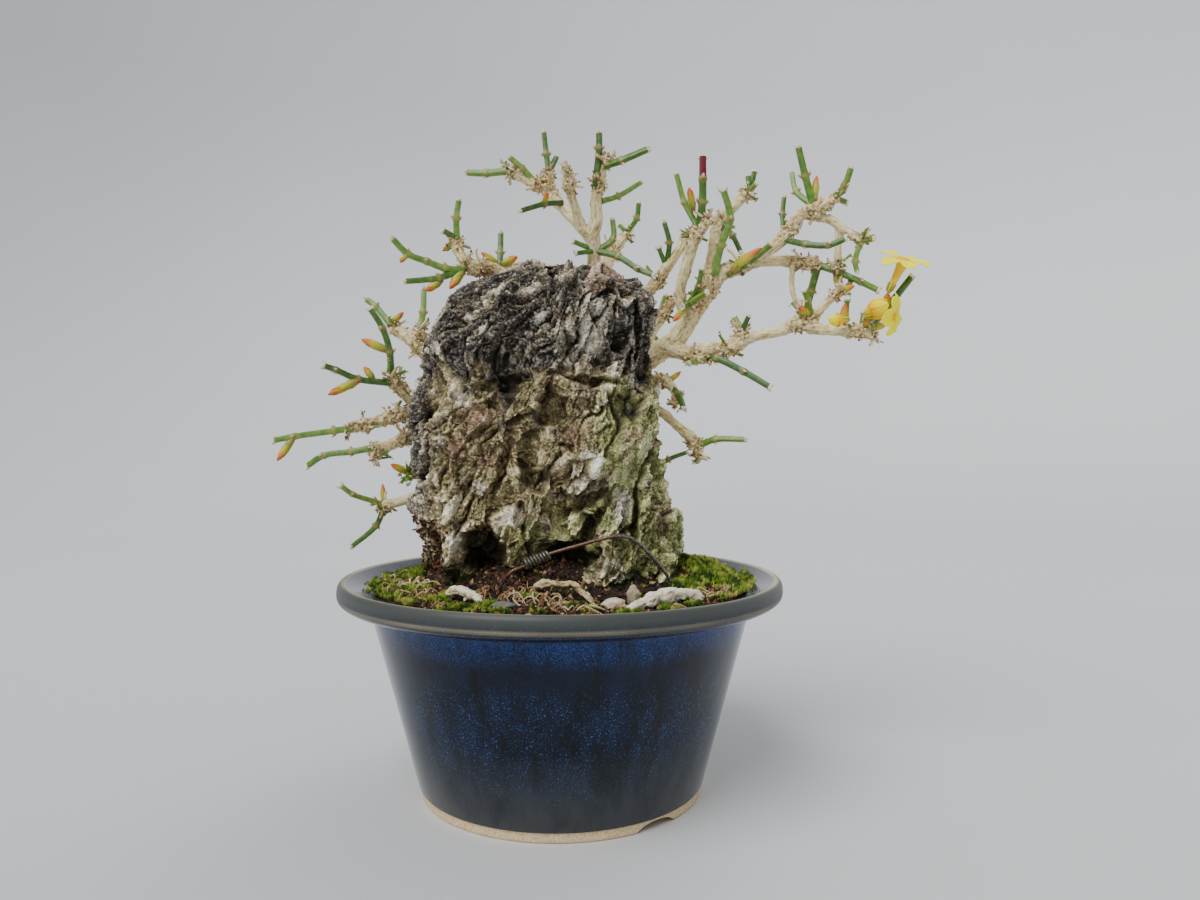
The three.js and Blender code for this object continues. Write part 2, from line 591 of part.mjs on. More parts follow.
const fans = {
  shoots_left_long: {
    root: [-73, 1, 124],
    shoots: [{ thick: 1.2, by: [[-79, -1, 123], [-92, -4, 121], [-99, -6, 119.5]] }],
    buds: [{ from: [-92, -4, 121], to: [-97, -6, 113], thick: 1.3 }],
  },
  shoots_left_middle: {
    root: [-70, 19, 117],
    shoots: [{ thick: 1.2, by: [[-79, 20, 115.5], [-90, 22, 114], [-97, 24, 110]] }],
  },
  shoots_left_knob: {
    root: [-56, 10, 108],
    shoots: [{ thick: 1, by: [[-55, 6, 104]] }],
    buds: [{ to: [-61, 7, 111], thick: 1.2 }],
  },
  shoots_left_low: {
    root: [-67, 20, 95],
    shoots: [
      { thick: 1.1, by: [[-70, 18, 97], [-77, 14, 100], [-81, 12, 103.5]] },
      { thick: 1.1, by: [[-70, 20, 88], [-79, 18, 80]] },
    ],
    buds: [{ to: [-68, 22, 103], thick: 1 }],
  },
  shoots_left_forward: {
    root: [-61, 4, 140],
    shoots: [{ thick: 1.2, by: [[-71, 0, 141], [-78, -3, 144], [-82, -5, 145.5]] }],
    buds: [
      { from: [-70, 0, 141], to: [-80, -4, 135.5], thick: 1.5 },
      { from: [-66, 2, 141], to: [-69, 1, 145], thick: 1.2 },
    ],
  },
  shoots_left_rising: {
    root: [-61, 6, 144],
    shoots: [{ thick: 1.2, by: [[-61, 4, 151], [-63, 2, 159], [-67, 0, 166]] }],
    buds: [{ from: [-61, 4, 151], to: [-70, 2, 155], thick: 1.5 }],
  },
  shoots_left_upper: {
    root: [-65, 22, 163],
    shoots: [{ thick: 1.3, by: [[-71, 24, 170], [-75, 25, 173]] }],
    buds: [{ to: [-60, 20, 167], thick: 1.1 }],
  },
  shoots_left_upright: {
    root: [-53, 17, 161],
    shoots: [{ thick: 1.2, by: [[-52, 18, 167], [-52, 20, 176]] }],
  },
  shoots_top_left_long: {
    root: [-35, 5, 180],
    shoots: [
      { thick: 1.2, by: [[-41, 2, 180], [-47, 0, 182], [-53, -3, 184], [-58, -6, 189]] },
      { thick: 1.2, by: [[-43, 1, 176.5], [-55, 0, 175]] },
    ],
    buds: [
      { to: [-39, 1, 173], thick: 1.5 },
      { from: [-42, 2, 176], to: [-47, 0, 172], thick: 1.4 },
      { from: [-53, -3, 184], to: [-55, -5, 181], thick: 0.9 },
    ],
  },
  shoots_top_left_upright: {
    root: [-38, 9, 192],
    shoots: [
      { thick: 1.2, by: [[-38, 8, 199], [-37, 8, 206]] },
      { thick: 1.1, by: [[-43, 6, 194.5]] },
    ],
    buds: [{ to: [-43, 10, 188], thick: 1 }],
  },
  shoots_top_left_short: {
    root: [-23, 12, 183],
    shoots: [{ thick: 1.2, by: [[-23, 14, 188], [-23, 16, 196]] }],
    buds: [
      { to: [-17, 12, 186], thick: 1.4 },
      { to: [-29, 10, 187], thick: 1.2 },
    ],
  },
  shoots_crown_left: {
    root: [-22, 28, 222],
    shoots: [{ thick: 1.3, by: [[-30, 29, 221.5], [-38, 30, 222]] }],
  },
  shoots_crown_arm: {
    root: [-12, 26, 218],
    shoots: [{ thick: 1.1, by: [[-16, 24.5, 222], [-21, 23, 226]] }],
  },
  shoots_crown_tip: {
    root: [-6, 26, 221],
    shoots: [
      { thick: 1.2, by: [[-7, 27, 228], [-8, 28, 237]] },
      { thick: 1.1, by: [[-3, 29, 228]] },
    ],
  },
  shoots_crown_inner: {
    root: [-1, 21, 208],
    shoots: [{ thick: 1.1, by: [[-7, 15, 206], [-16, 10, 202]] }],
    buds: [{ from: [-7, 15, 206], to: [-6, 12, 209], thick: 1 }],
  },
  shoots_crown_upright: {
    root: [11, 17, 206],
    shoots: [{ thick: 1.3, by: [[12, 12, 215], [13, 11, 225], [13, 11, 231]] }],
  },
  shoots_crown_right: {
    root: [15, 12, 219],
    shoots: [{ thick: 1.2, by: [[21, 9, 220], [31, 5, 223]] }],
  },
  shoots_crown_right_low: {
    root: [14, 15, 207],
    shoots: [{ thick: 1.1, by: [[20, 19, 210], [29, 25, 217]] }],
  },
  shoots_crown_base: {
    root: [12, 20, 190],
    shoots: [
      { thick: 1, by: [[3, 17, 193]] },
      { thick: 1, by: [[4, 15, 188]] },
      { thick: 1.1, by: [[18, 19, 194], [18, 20, 202]] },
      { thick: 1.2, by: [[20, 16, 187], [27, 13, 182], [33, 10, 179]] },
    ],
  },
  shoots_right_inner: {
    root: [38, 23, 185],
    shoots: [
      { thick: 1.1, by: [[39, 20, 193], [37, 20, 201]] },
      { thick: 1, by: [[35, 22, 192]] },
    ],
  },
  shoots_right_crimson: {
    root: [49, 11, 196],
    shoots: [
      { thick: 1.5, by: [[50, 9, 205], [50, 8, 213], [50, 8, 221]] },
      { thick: 1.1, by: [[44, 13, 206], [41, 14, 217]] },
    ],
    buds: [{ from: [47, 10, 202], to: [45, 6, 209], thick: 1.3 }],
  },
  shoots_right_front: {
    root: [55, 14, 180],
    shoots: [{ thick: 1.4, by: [[57, 11, 190], [60, 9, 199], [57, 6, 209]] }],
  },
  shoots_right_tips: {
    root: [70, 25, 214],
    shoots: [
      { thick: 1.1, by: [[69, 26, 220]] },
      { thick: 1.2, by: [[72, 28, 222]] },
      { thick: 1, by: [[72, 22, 216]] },
    ],
  },
  shoots_right_drooping: {
    root: [59, 21, 200],
    shoots: [{ thick: 1.1, by: [[62, 17, 195], [65, 15, 188]] }],
  },
  shoots_right_big_bud: {
    root: [60, 13, 180],
    shoots: [{ thick: 1.1, by: [[66, 8, 183], [74, 3, 189]] }],
    buds: [{ to: [70, 5, 187.5], thick: 2 }],
  },
  shoots_right_knuckle: {
    root: [46, 17, 170],
    shoots: [
      { thick: 1, by: [[49, 13, 176], [50, 11, 182]] },
      { thick: 1.1, by: [[43, 12, 168]] },
      { thick: 1.1, by: [[52, 9, 173]] },
    ],
    buds: [{ to: [40, 12, 163], thick: 1.2 }],
  },
  shoots_right_diagonal: {
    root: [50, 13, 150],
    shoots: [
      { thick: 1.3, by: [[55, 8, 149], [64, 4, 144], [73, 0, 138]] },
      { thick: 1, by: [[45, 9, 147]] },
    ],
  },
  shoots_right_under: {
    root: [38, 22, 141],
    shoots: [{ thick: 1.2, by: [[42, 17, 137], [44, 14, 131]] }],
    buds: [{ to: [43, 20, 145], thick: 1 }],
  },
  shoots_right_low: {
    root: [50, 15, 118],
    shoots: [{ thick: 1.1, by: [[55, 12, 120], [66, 8, 120]] }],
  },
  shoots_branch_stub: {
    root: [65, 12, 160],
    shoots: [
      { thick: 1, by: [[67, 9, 165]] },
      { thick: 1, by: [[62, 14, 165]] },
    ],
  },
  shoots_far_tips: {
    root: [88, 2, 202],
    shoots: [
      { thick: 1.3, by: [[85, 1, 212], [82, -1, 222]] },
      { thick: 1.1, by: [[83, 6, 208], [82, 9, 216]] },
    ],
    buds: [{ to: [90, 5, 213], thick: 1.3 }],
  },
  shoots_far_point: {
    root: [95, 0, 204],
    shoots: [
      { thick: 1.1, by: [[98, -2, 208], [100, -3, 214]] },
      { thick: 1, by: [[100, 2, 203]] },
    ],
  },
  shoots_far_inner: {
    root: [79, 6, 191],
    shoots: [
      { thick: 1, by: [[79, 10, 201], [80, 12, 208]] },
      { thick: 1.1, by: [[85, 0, 188], [92, -3, 187], [98, -5, 189]] },
    ],
  },
  shoots_far_arm: {
    root: [104, -1, 189],
    shoots: [
      { thick: 1, by: [[108, -4, 189]] },
      { thick: 1, by: [[102, -1, 182], [103, 0, 178]] },
    ],
  },
  shoots_far_long: {
    root: [92, 11, 183],
    shoots: [
      { thick: 1.2, by: [[99, 6, 179], [105, 3, 175.5], [111, 1, 172]] },
      { thick: 1.4, by: [[90, 13, 174], [88, 15, 164]] },
    ],
    buds: [{ from: [97, 7, 179], to: [99, 6, 173], thick: 1.3 }],
  },
  shoots_branch_knuckle: {
    root: [88, 5, 164],
    shoots: [{ thick: 1, by: [[86, 1, 169], [84, -1, 172]] }],
    buds: [{ to: [83, 1, 166], thick: 1.3 }],
  },
  shoots_branch_upper: {
    root: [97, 1, 172],
    shoots: [{ thick: 1, by: [[101, 4, 174], [103, 7, 178]] }],
    buds: [{ to: [101, -2, 173], thick: 1.1 }],
  },
  shoots_branch_buds: {
    root: [99, 3, 160],
    shoots: [{ thick: 1, by: [[101, 7, 164], [102, 9, 170]] }],
    buds: [{ to: [99, 1, 167], thick: 1.4 }],
  },
  shoots_flowering: {
    root: [107, 3, 159],
    shoots: [{ thick: 1.2, by: [[111, 2, 163], [114.5, 1.5, 167], [122, -1, 177]] }],
    buds: [
      { to: [115, 7, 161], thick: 1.5 },
      { to: [105.5, -2.2, 162.3], thick: 1.2 },
      { from: [113.5, 2, 166], to: [113, -1.6, 170.3], thick: 1.3 },
    ],
  },
  shoots_back_left: {
    root: [-22, 62, 138],
    shoots: [
      { thick: 1.2, by: [[-27, 64, 146], [-30, 64, 154]] },
      { thick: 1.1, by: [[-29, 66, 138], [-36, 67, 136]] },
    ],
    buds: [{ to: [-20, 68, 143], thick: 1.3 }],
  },
  shoots_back_right: {
    root: [33, 60, 167],
    shoots: [
      { thick: 1.2, by: [[38, 62, 173], [41, 64, 181]] },
      { thick: 1.1, by: [[35, 67, 165], [38, 72, 163]] },
    ],
    buds: [{ to: [28, 63, 172], thick: 1.3 }],
  },
  shoots_back_top: {
    root: [24, 46, 203],
    shoots: [
      { thick: 1.1, by: [[28, 48, 209], [29, 49, 216]] },
      { thick: 1, by: [[21, 50, 207]] },
    ],
  },
  shoots_back_low: {
    root: [35, 48, 108],
    shoots: [
      { thick: 1.1, by: [[41, 50, 112], [49, 52, 115]] },
      { thick: 1, by: [[34, 53, 113]] },
    ],
  },
};

// A shoot: square in section, with a swelling at each joint
function shootPath(root, shoot) {
  const stops = [root, ...shoot.by];
  return stops.map(([x, y, z], i) => {
    const joint = i > 0 && i < stops.length - 1;
    return [x, y, z, joint ? shoot.thick * SHOOT.joint : shoot.thick];
  });
}

function makeBud(bud, seat, grow) {
  const from = new THREE.Vector3(...(bud.from ?? seat));
  const to = new THREE.Vector3(...bud.to);
  const length = from.distanceTo(to) + 2 * grow;
  const lens = new THREE.SphereGeometry(1, 5, 3).scale(bud.thick + grow, length / 2, bud.thick + grow);
  const aim = new THREE.Quaternion();
  aim.setFromUnitVectors(new THREE.Vector3(0, 1, 0), to.clone().sub(from).normalize());
  const middle = from.clone().lerp(to, 0.5);
  return lens.applyQuaternion(aim).translate(middle.x, middle.y, middle.z);
}

function heartRadius(fan) {
  return SHOOT.heart * Math.max(...fan.shoots.map((shoot) => shoot.thick));
}

// The root of a fan sits on the bark, on the side that its shoots lean to
function seatOf(fan) {
  const place = new THREE.Vector3(...fan.root);
  const lean = new THREE.Vector3();
  for (const shoot of fan.shoots) {
    lean.add(new THREE.Vector3(...shoot.by[0]).sub(place).normalize());
  }
  lean.normalize();
  let wood = nearestWood(place);
  while (wood.gap < SUNK * heartRadius(fan)) {
    const away = place.clone().sub(wood.axis);
    place.add(away.add(lean).setLength(SHOOT.seatStep));
    wood = nearestWood(place);
  }
  return place.toArray();
}

function makeFan(fan, grow = 0) {
  const seat = seatOf(fan);
  const reach = SHOOT.heartPoint * (heartRadius(fan) + grow);
  const heart = new THREE.OctahedronGeometry(reach).translate(...seat);
  const pieces = [solidOf(heart)];
  for (const shoot of fan.shoots) {
    const path = shootPath(seat, shoot);
    pieces.push(solidOf(limb(path, { sides: 4, steps: 1, grow, square: SHOOT.square })));
  }
  for (const bud of fan.buds ?? []) {
    pieces.push(solidOf(makeBud(bud, seat, grow)));
  }
  return join(pieces);
}

// The yellow flowers: a long tube that opens into six lobes. Turned about +Z, then aimed.

const flowers = {
  corolla_upper: { at: [113.1, -1.9, 170.9], aim: [0.45, -0.2, 0.85], open: 1, spin: 20 },
  corolla_facing: { at: [105.9, -2.8, 162.6], aim: [0.75, -0.62, 0.1], open: 1, spin: 0 },
  corolla_opening: { at: [92.2, 1.7, 160.8], aim: [0.1, -0.55, 0.83], open: 0.1, spin: 10 },
};

function makeCorolla({ at, aim, open, spin }) {
  const { radius, tube, lobes, thickness, foot, neck } = COROLLA;
  const length = tube * mix(COROLLA.closedTube, 1, open);
  const reach = radius * mix(COROLLA.closedReach, 1, open);
  const flare = reach * COROLLA.flare;
  const profile = [
    [0, 0], [foot, 0], [neck, length - 2], [reach * 0.5, length],
    [reach, length + flare], [reach, length + flare + thickness],
    [reach * 0.5, length + thickness + 0.2], [0, length - 1.5],
  ].map(([r, z]) => new THREE.Vector2(r, z));
  const cup = new THREE.LatheGeometry(profile, lobes * 4).rotateX(Math.PI / 2);
  shaped(cup, (point) => {
    const r = Math.hypot(point.x, point.y);
    const turn = Math.atan2(point.y, point.x);
    const lobe = Math.abs(Math.sin((turn * lobes) / 2)) ** 0.5;
    const share = THREE.MathUtils.clamp((r - reach * 0.4) / (reach * 0.6), 0, 1);
    const keep = mix(1, mix(COROLLA.between, 1, lobe), share);
    point.set(point.x * keep, point.y * keep, point.z);
  });
  cup.rotateZ(THREE.MathUtils.degToRad(spin));
  const turn = new THREE.Quaternion();
  turn.setFromUnitVectors(new THREE.Vector3(0, 0, 1), new THREE.Vector3(...aim).normalize());
  return cup.applyQuaternion(turn).translate(...at);
}

// Roots that surface in front of the rock, and small stones

const surfaceRoots = {
  surface_root_right: [[20, -49, 67.5, 1.8], [26, -46, 71, 2.2], [33, -42, 72.5, 2.4],
    [40, -39, 72.8, 2.1], [46, -38, 70, 1.6]],
  surface_root_middle: [[-9, -34, 71.5, 1.3], [-5, -37, 75.5, 1.4], [1, -38, 75.4, 1.4],
    [6, -38, 74.6, 1.4], [12, -42, 69.5, 1.3]],
  surface_root_left: [[-34, -38, 71, 1.5], [-30, -41, 74, 1.7], [-25, -44, 73, 1.6],
    [-21, -46, 69.5, 1.3]],
};

const stones = {
  stone_cream: { at: [17.5, -44, 70.4], size: [3.6, 2.4, 1.7], turn: 20 },
  stone_finger: { at: [23.5, -37, 71.8], size: [1.9, 2, 3], turn: 0 },
  stone_grey: { at: [-15, -50, 71], size: [3.6, 2.3, 1.4], turn: -15 },
};

function makeStone({ at, size, turn }, grow = 0) {
  const ball = new THREE.DodecahedronGeometry(STONE.ball);
  shaped(ball, (point) => {
    const { x, y, z } = point.clone().multiplyScalar(STONE.dentSize);
    point.multiplyScalar(STONE.least + STONE.dent * noise(x + at[0], y, z));
  });
  ball.scale(size[0] + grow, size[1] + grow, size[2] + grow);
  return ball.rotateZ(THREE.MathUtils.degToRad(turn)).translate(...at);
}

// The stiff tie wire: two legs into the soil and a short coil between them

const wireLegs = [
  [-20, -33, 68], [-17, -35, 75], [-14, -36, 79], [-9, -34.5, 81], [-5, -33.5, 83.2],
  [6, -32, 86.5], [19, -31, 89.5], [23, -30.5, 88.8], [29, -28, 83.5], [35, -25, 76], [38, -23.5, 69],
];
const wireCoil = { from: [-10, -34.7, 81.2], to: [-2.5, -33.2, 84] };

function makeWire(grow = 0) {
  const r = WIRE.gauge / 2;
  const legs = limb(wireLegs.map(([x, y, z]) => [x, y, z, r]), { sides: 6, steps: 1, grow });
  const from = new THREE.Vector3(...wireCoil.from);
  const axis = new THREE.Vector3(...wireCoil.to).sub(from);
  const length = axis.length();
  const outline = [new THREE.Vector2(0, 0)];
  for (let i = 0; i <= 2 * WIRE.coilTurns; i += 1) {
    const inset = i % 2 ? 0 : WIRE.coilGroove;
    outline.push(new THREE.Vector2(WIRE.coilRadius - inset + grow, (length * i) / (2 * WIRE.coilTurns)));
  }
  outline.push(new THREE.Vector2(0, length));
  const turn = new THREE.Quaternion();
  turn.setFromUnitVectors(new THREE.Vector3(0, 1, 0), axis.clone().normalize());
  const coil = new THREE.LatheGeometry(outline, WIRE.coilSides);
  coil.applyQuaternion(turn).translate(...wireCoil.from);
  return solidOf(legs).add(solidOf(coil));
}

// Assembly: what grows is cut clear of what it grows on, and the soil is cut clear of both

part('pot', makePot(), GLAZE);
part('drainage_mesh', makeNet(), PLASTIC_NET);
part('mesh_staple', makeStaple(), COPPER_WIRE);

const rock = solidOf(makeRock());
const rockRoom = solidOf(makeRock(CLEAR));
part('rock', rock, ROCK_FACE);

const fanRooms = [];
const fanSolids = new Map();
for (const [name, fan] of Object.entries(fans)) {
  let solid = makeFan(fan);
  for (const room of [...fanRooms, rockRoom]) {
    solid = solid.subtract(room);
  }
  fanSolids.set(name, oneBody(solid));
  fanRooms.push(makeFan(fan, CLEAR));
}

let wood = makeGrowth().subtract(rockRoom);
for (const room of fanRooms) {
  wood = wood.subtract(room);
}
part('jasmine_wood', oneBody(wood), PALE_BARK);
for (const [name, solid] of fanSolids) {
  part(name, solid, GREEN_STEM);
}

for (const [name, flower] of Object.entries(flowers)) {
  part(name, makeCorolla(flower), PETAL);
}

const wire = makeWire();
part('tie_wire', wire, COPPER_WIRE);

let soil = solidOf(makeSoil()).subtract(rockRoom).subtract(makeGrowth(CLEAR)).subtract(makeWire(CLEAR));
for (const [name, path] of Object.entries(surfaceRoots)) {
  soil = soil.subtract(solidOf(limb(path, { sides: 6, grow: CLEAR })));
  part(name, limb(path, { sides: 6 }), ROOT_BARK);
}
for (const [name, stone] of Object.entries(stones)) {
  soil = soil.subtract(solidOf(makeStone(stone, CLEAR)));
  part(name, makeStone(stone), PEBBLE);
}
part('soil', oneBody(soil), POTTING_SOIL);

// The frame: the middle of the outer box, at the height of the foot

const box = new THREE.Box3().setFromObject(bonsai);
bonsai.position.set(-(box.min.x + box.max.x) / 2, -(box.min.y + box.max.y) / 2, -box.min.z);

const model = new THREE.Group();
model.add(bonsai);
export default model;
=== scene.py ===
"""A winter jasmine bonsai trained over a craggy rock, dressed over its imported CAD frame.

The tables below are in millimetres, laid out round the pot's axis with +Z up. Every finished mesh is
in metres in the frame's own place.
"""

import logging
import math
import random
from dataclasses import dataclass, field
from enum import Enum
from typing import Callable, Iterable, Sequence

import bpy
import numpy as np
from mathutils import Matrix, Vector, noise
from mathutils.bvhtree import BVHTree
from mathutils.kdtree import KDTree


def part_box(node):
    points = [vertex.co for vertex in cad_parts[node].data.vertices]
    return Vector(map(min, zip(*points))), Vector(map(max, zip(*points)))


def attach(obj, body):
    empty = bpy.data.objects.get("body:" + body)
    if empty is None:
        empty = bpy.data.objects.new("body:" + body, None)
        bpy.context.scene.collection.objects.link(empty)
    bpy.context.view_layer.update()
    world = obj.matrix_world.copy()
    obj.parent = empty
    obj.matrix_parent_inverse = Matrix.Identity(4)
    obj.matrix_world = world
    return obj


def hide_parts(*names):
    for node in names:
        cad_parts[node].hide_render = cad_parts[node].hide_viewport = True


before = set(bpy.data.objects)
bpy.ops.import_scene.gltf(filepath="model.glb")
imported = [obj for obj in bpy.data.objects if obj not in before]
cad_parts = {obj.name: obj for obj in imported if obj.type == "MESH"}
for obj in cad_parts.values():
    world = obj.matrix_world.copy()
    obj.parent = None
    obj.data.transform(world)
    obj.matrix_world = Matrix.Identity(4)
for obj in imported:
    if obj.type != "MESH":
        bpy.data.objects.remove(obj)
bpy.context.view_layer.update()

log = logging.getLogger("bonsai")

Point = tuple[float, float, float]
Row = tuple[float, ...]
Stops = Sequence[tuple[float, str]]
Piece = bpy.types.Object
Tree = bpy.types.NodeTree
Socket = bpy.types.NodeSocket

MM = 0.001                     # metres in a millimetre
BODY = "root"
_POT_LOW, _POT_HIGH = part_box("pot")
AXIS_X = (_POT_LOW.x + _POT_HIGH.x) / 2 / MM   # where the pot's axis stands in the frame


@dataclass(frozen=True)
class Shoot:
    """One green shoot: its half width and the joints it passes after its fan's root."""

    thick: float
    by: list[Point]


@dataclass(frozen=True)
class Bud:
    """One flower bud: its tip, its half width and where it starts, the fan's root if not given."""

    to: Point
    thick: float
    start: Point | None = None


@dataclass(frozen=True)
class Fan:
    """The shoots and buds that spring from one knuckle of the wood."""

    root: Point
    shoots: list[Shoot]
    buds: list[Bud] = field(default_factory=list)


# The tree's paths. A row is x, y, z and radius; a gripping root's row is its angle on the rock in degrees,
# its height and its radius.

TRUNK: list[Row] = [
    (6, 41, 58, 8.5), (5, 40, 74, 8), (1, 37, 92, 7), (4, 35.5, 112, 6.6), (9, 34, 130, 6.2),
    (10, 32, 148, 5), (10, 28, 166, 4.2), (11, 23, 184, 3.2), (11, 20, 192, 3), (10, 18, 198, 3.6),
]

LIMBS: list[list[Row]] = [
    [(10, 18, 196, 3), (12, 17, 200, 2.8), (12, 15, 208, 2.4), (13, 14, 213, 2.9), (14, 13, 218, 2),
     (16, 12, 221, 2.3)],
    [(11, 20, 194, 3), (6, 19, 199, 2.6), (0, 22, 206, 2.4), (-6, 25, 214, 3), (-6, 26, 220, 2.2)],
    [(-5, 25, 214, 2.2), (-10, 26, 216, 2.4), (-16, 27, 219, 2), (-21, 28, 222, 2.6)],
    [(6, 18, 200, 2.2), (3, 12, 208, 1.9), (2, 9, 212, 2.6), (2, 8, 215, 1.8)],
    [(11, 27, 172, 3), (0, 25, 181, 2.8), (-13, 19, 184, 2.8), (-23, 13, 181, 3.2), (-29, 8, 181, 3.4),
     (-34, 6, 181, 3)],
    [(-34, 7, 181, 2.4), (-37, 8, 187, 2.2), (-38, 9, 191, 2.7)],
    [(9, 34, 130, 4.4), (-12, 34, 134, 4), (-32, 29, 137, 3.6), (-46, 21, 136, 3.6), (-53, 14, 131, 3.6),
     (-57, 11, 129, 3.4)],
    [(-32, 29, 137, 3), (-46, 24, 147, 2.8), (-53, 18, 154, 3.2), (-58, 19, 158, 2.6), (-64, 22, 162, 3)],
    [(-53, 18, 154, 2.2), (-53, 17, 160, 2.6)],
    [(-53, 14, 131, 2.8), (-56, 10, 136, 2.6), (-59, 7, 139, 2.9), (-61, 5, 142, 2.7)],
    [(-55, 12, 130, 2.6), (-61, 7, 128, 3.1), (-66, 4, 126, 2.3), (-70, 3, 125, 2.8), (-74, 1, 124, 2)],
    [(-51, 17, 130, 2.8), (-58, 17, 121, 3.2), (-65, 18, 118, 2.4), (-70, 19, 117, 2.7)],
    [(-64, 18, 118, 1.8), (-70, 19, 113, 1.7)],
    [(2, 37, 92, 4), (-20, 35, 96, 3.4), (-40, 27, 99, 2.8), (-54, 18, 99, 2.2), (-61, 18, 97, 2.1),
     (-67, 20, 95, 3)],
    [(-40, 27, 99, 2.2), (-51, 17, 106, 1.8), (-56, 10, 108, 2.4)],
    [(9, 34, 132, 5.4), (22, 34, 144, 5), (34, 29, 152, 4.6), (42, 23, 158, 4.4), (48, 20, 167, 4),
     (53, 18, 175, 4.2), (58, 16, 181, 3.4), (65, 12, 183, 3.6), (75, 8, 189, 2.8), (81, 6, 194, 3),
     (84, 4, 199, 2.6), (89, 2, 201, 3.2), (95, 0, 204, 1.9)],
    [(64, 12, 183, 2.8), (72, 14, 185, 2.6), (80, 14, 185, 2.4), (87, 12, 184, 2.9), (91, 11, 183, 2.4)],
    [(86, 3, 199, 2), (94, 2, 197, 1.9), (100, 0, 192, 1.8), (104, -1, 189, 2.1)],
    [(97, 2, 194, 1.5), (97, 3, 186, 1.5), (97, 4, 181, 1.6)],
    [(83, 12, 184, 1.3), (83, 12, 174, 1.2), (86, 12, 166, 1.1)],
    [(22, 34, 144, 3), (27, 30, 158, 2.8), (29, 26, 172, 2.6), (35, 24, 180, 2.8), (41, 22, 188, 2),
     (47, 22, 197, 2.3)],
    [(46, 21, 163, 3), (43, 19, 174, 2.4), (45, 15, 184, 2.5), (48, 12, 194, 2.9), (52, 10, 199, 2.2)],
    [(53, 18, 175, 3), (55, 19, 188, 2.6), (58, 22, 201, 2.9), (64, 24, 208, 2.3), (69, 25, 213, 2.8)],
    [(38, 26, 155, 4), (47, 18, 152, 3.4), (53, 16, 153, 3), (60, 14, 153, 3.4), (68, 12, 157, 2.4),
     (78, 8, 159, 2.4), (84, 6, 161, 2.9), (90, 4, 159, 2.3), (98, 3, 158.5, 2.5), (104, 2, 158, 2.8),
     (109, 2, 156.5, 1.9)],
    [(62, 14, 155, 2), (65, 12, 159, 2.1)],
    [(84, 6, 161, 2), (88, 6, 162, 2.6), (92, 4, 167, 1.8), (96, 2, 171, 2), (98, 1, 172, 1.5)],
    [(28, 32, 150, 2.6), (33, 28, 161, 2.4), (38, 26, 168, 2.7), (41, 24, 173, 1.9)],
    [(44, 22, 164, 2.4), (49, 17, 171, 2.8), (53, 14, 174, 2)],
    [(40, 24, 155, 2.6), (47, 15, 150, 2.7), (52, 10, 149, 2)],
    [(20, 34, 140, 3), (30, 29, 142, 2.5), (37, 23, 142, 2.7), (41, 19, 138, 2), (42, 19, 133, 2.1)],
    [(5, 36, 118, 4), (20, 34, 128, 3.2), (35, 26, 131, 2.4), (42, 20, 125, 2), (49, 16, 118, 2.8),
     (49, 15, 114, 1.7)],
    [(2, 37, 104, 3.6), (-4, 45, 114, 3), (-9, 54, 124, 3.2), (-16, 60, 130, 2.2), (-22, 62, 137, 2.5)],
    [(10, 33, 138, 3.6), (14, 42, 148, 3), (19, 51, 156, 3.2), (27, 57, 163, 2.4), (32, 60, 166, 2.4)],
    [(11, 26, 172, 2.6), (15, 35, 184, 2.4), (18, 42, 194, 2.8), (24, 46, 202, 1.9)],
    [(5, 38, 84, 3.2), (16, 44, 92, 2.6), (26, 47, 99, 2.9), (34, 48, 107, 2)],
]

GRIPPING_ROOTS: list[list[Row]] = [
    [(84, 104, 5), (66, 96, 3.8), (50, 87, 3.2), (42, 77, 2.8), (38, 66, 1.8)],
    [(92, 100, 5), (112, 92, 3.8), (128, 84, 3.2), (138, 76, 2.8), (142, 66, 1.8)],
    [(88, 122, 4.6), (112, 112, 3), (136, 102, 2.6), (152, 90, 2.4), (160, 78, 2.2), (164, 66, 1.6)],
    [(80, 128, 4.4), (58, 118, 2.8), (40, 106, 2.4), (26, 92, 2.2), (20, 79, 2), (18, 67, 1.5)],
]

# The roots that spread from the trunk's foot: their direction in degrees and their reach
ROOT_FLARE: list[Row] = [(-28, 17), (24, 20), (70, 15), (112, 15), (158, 20), (204, 16)]

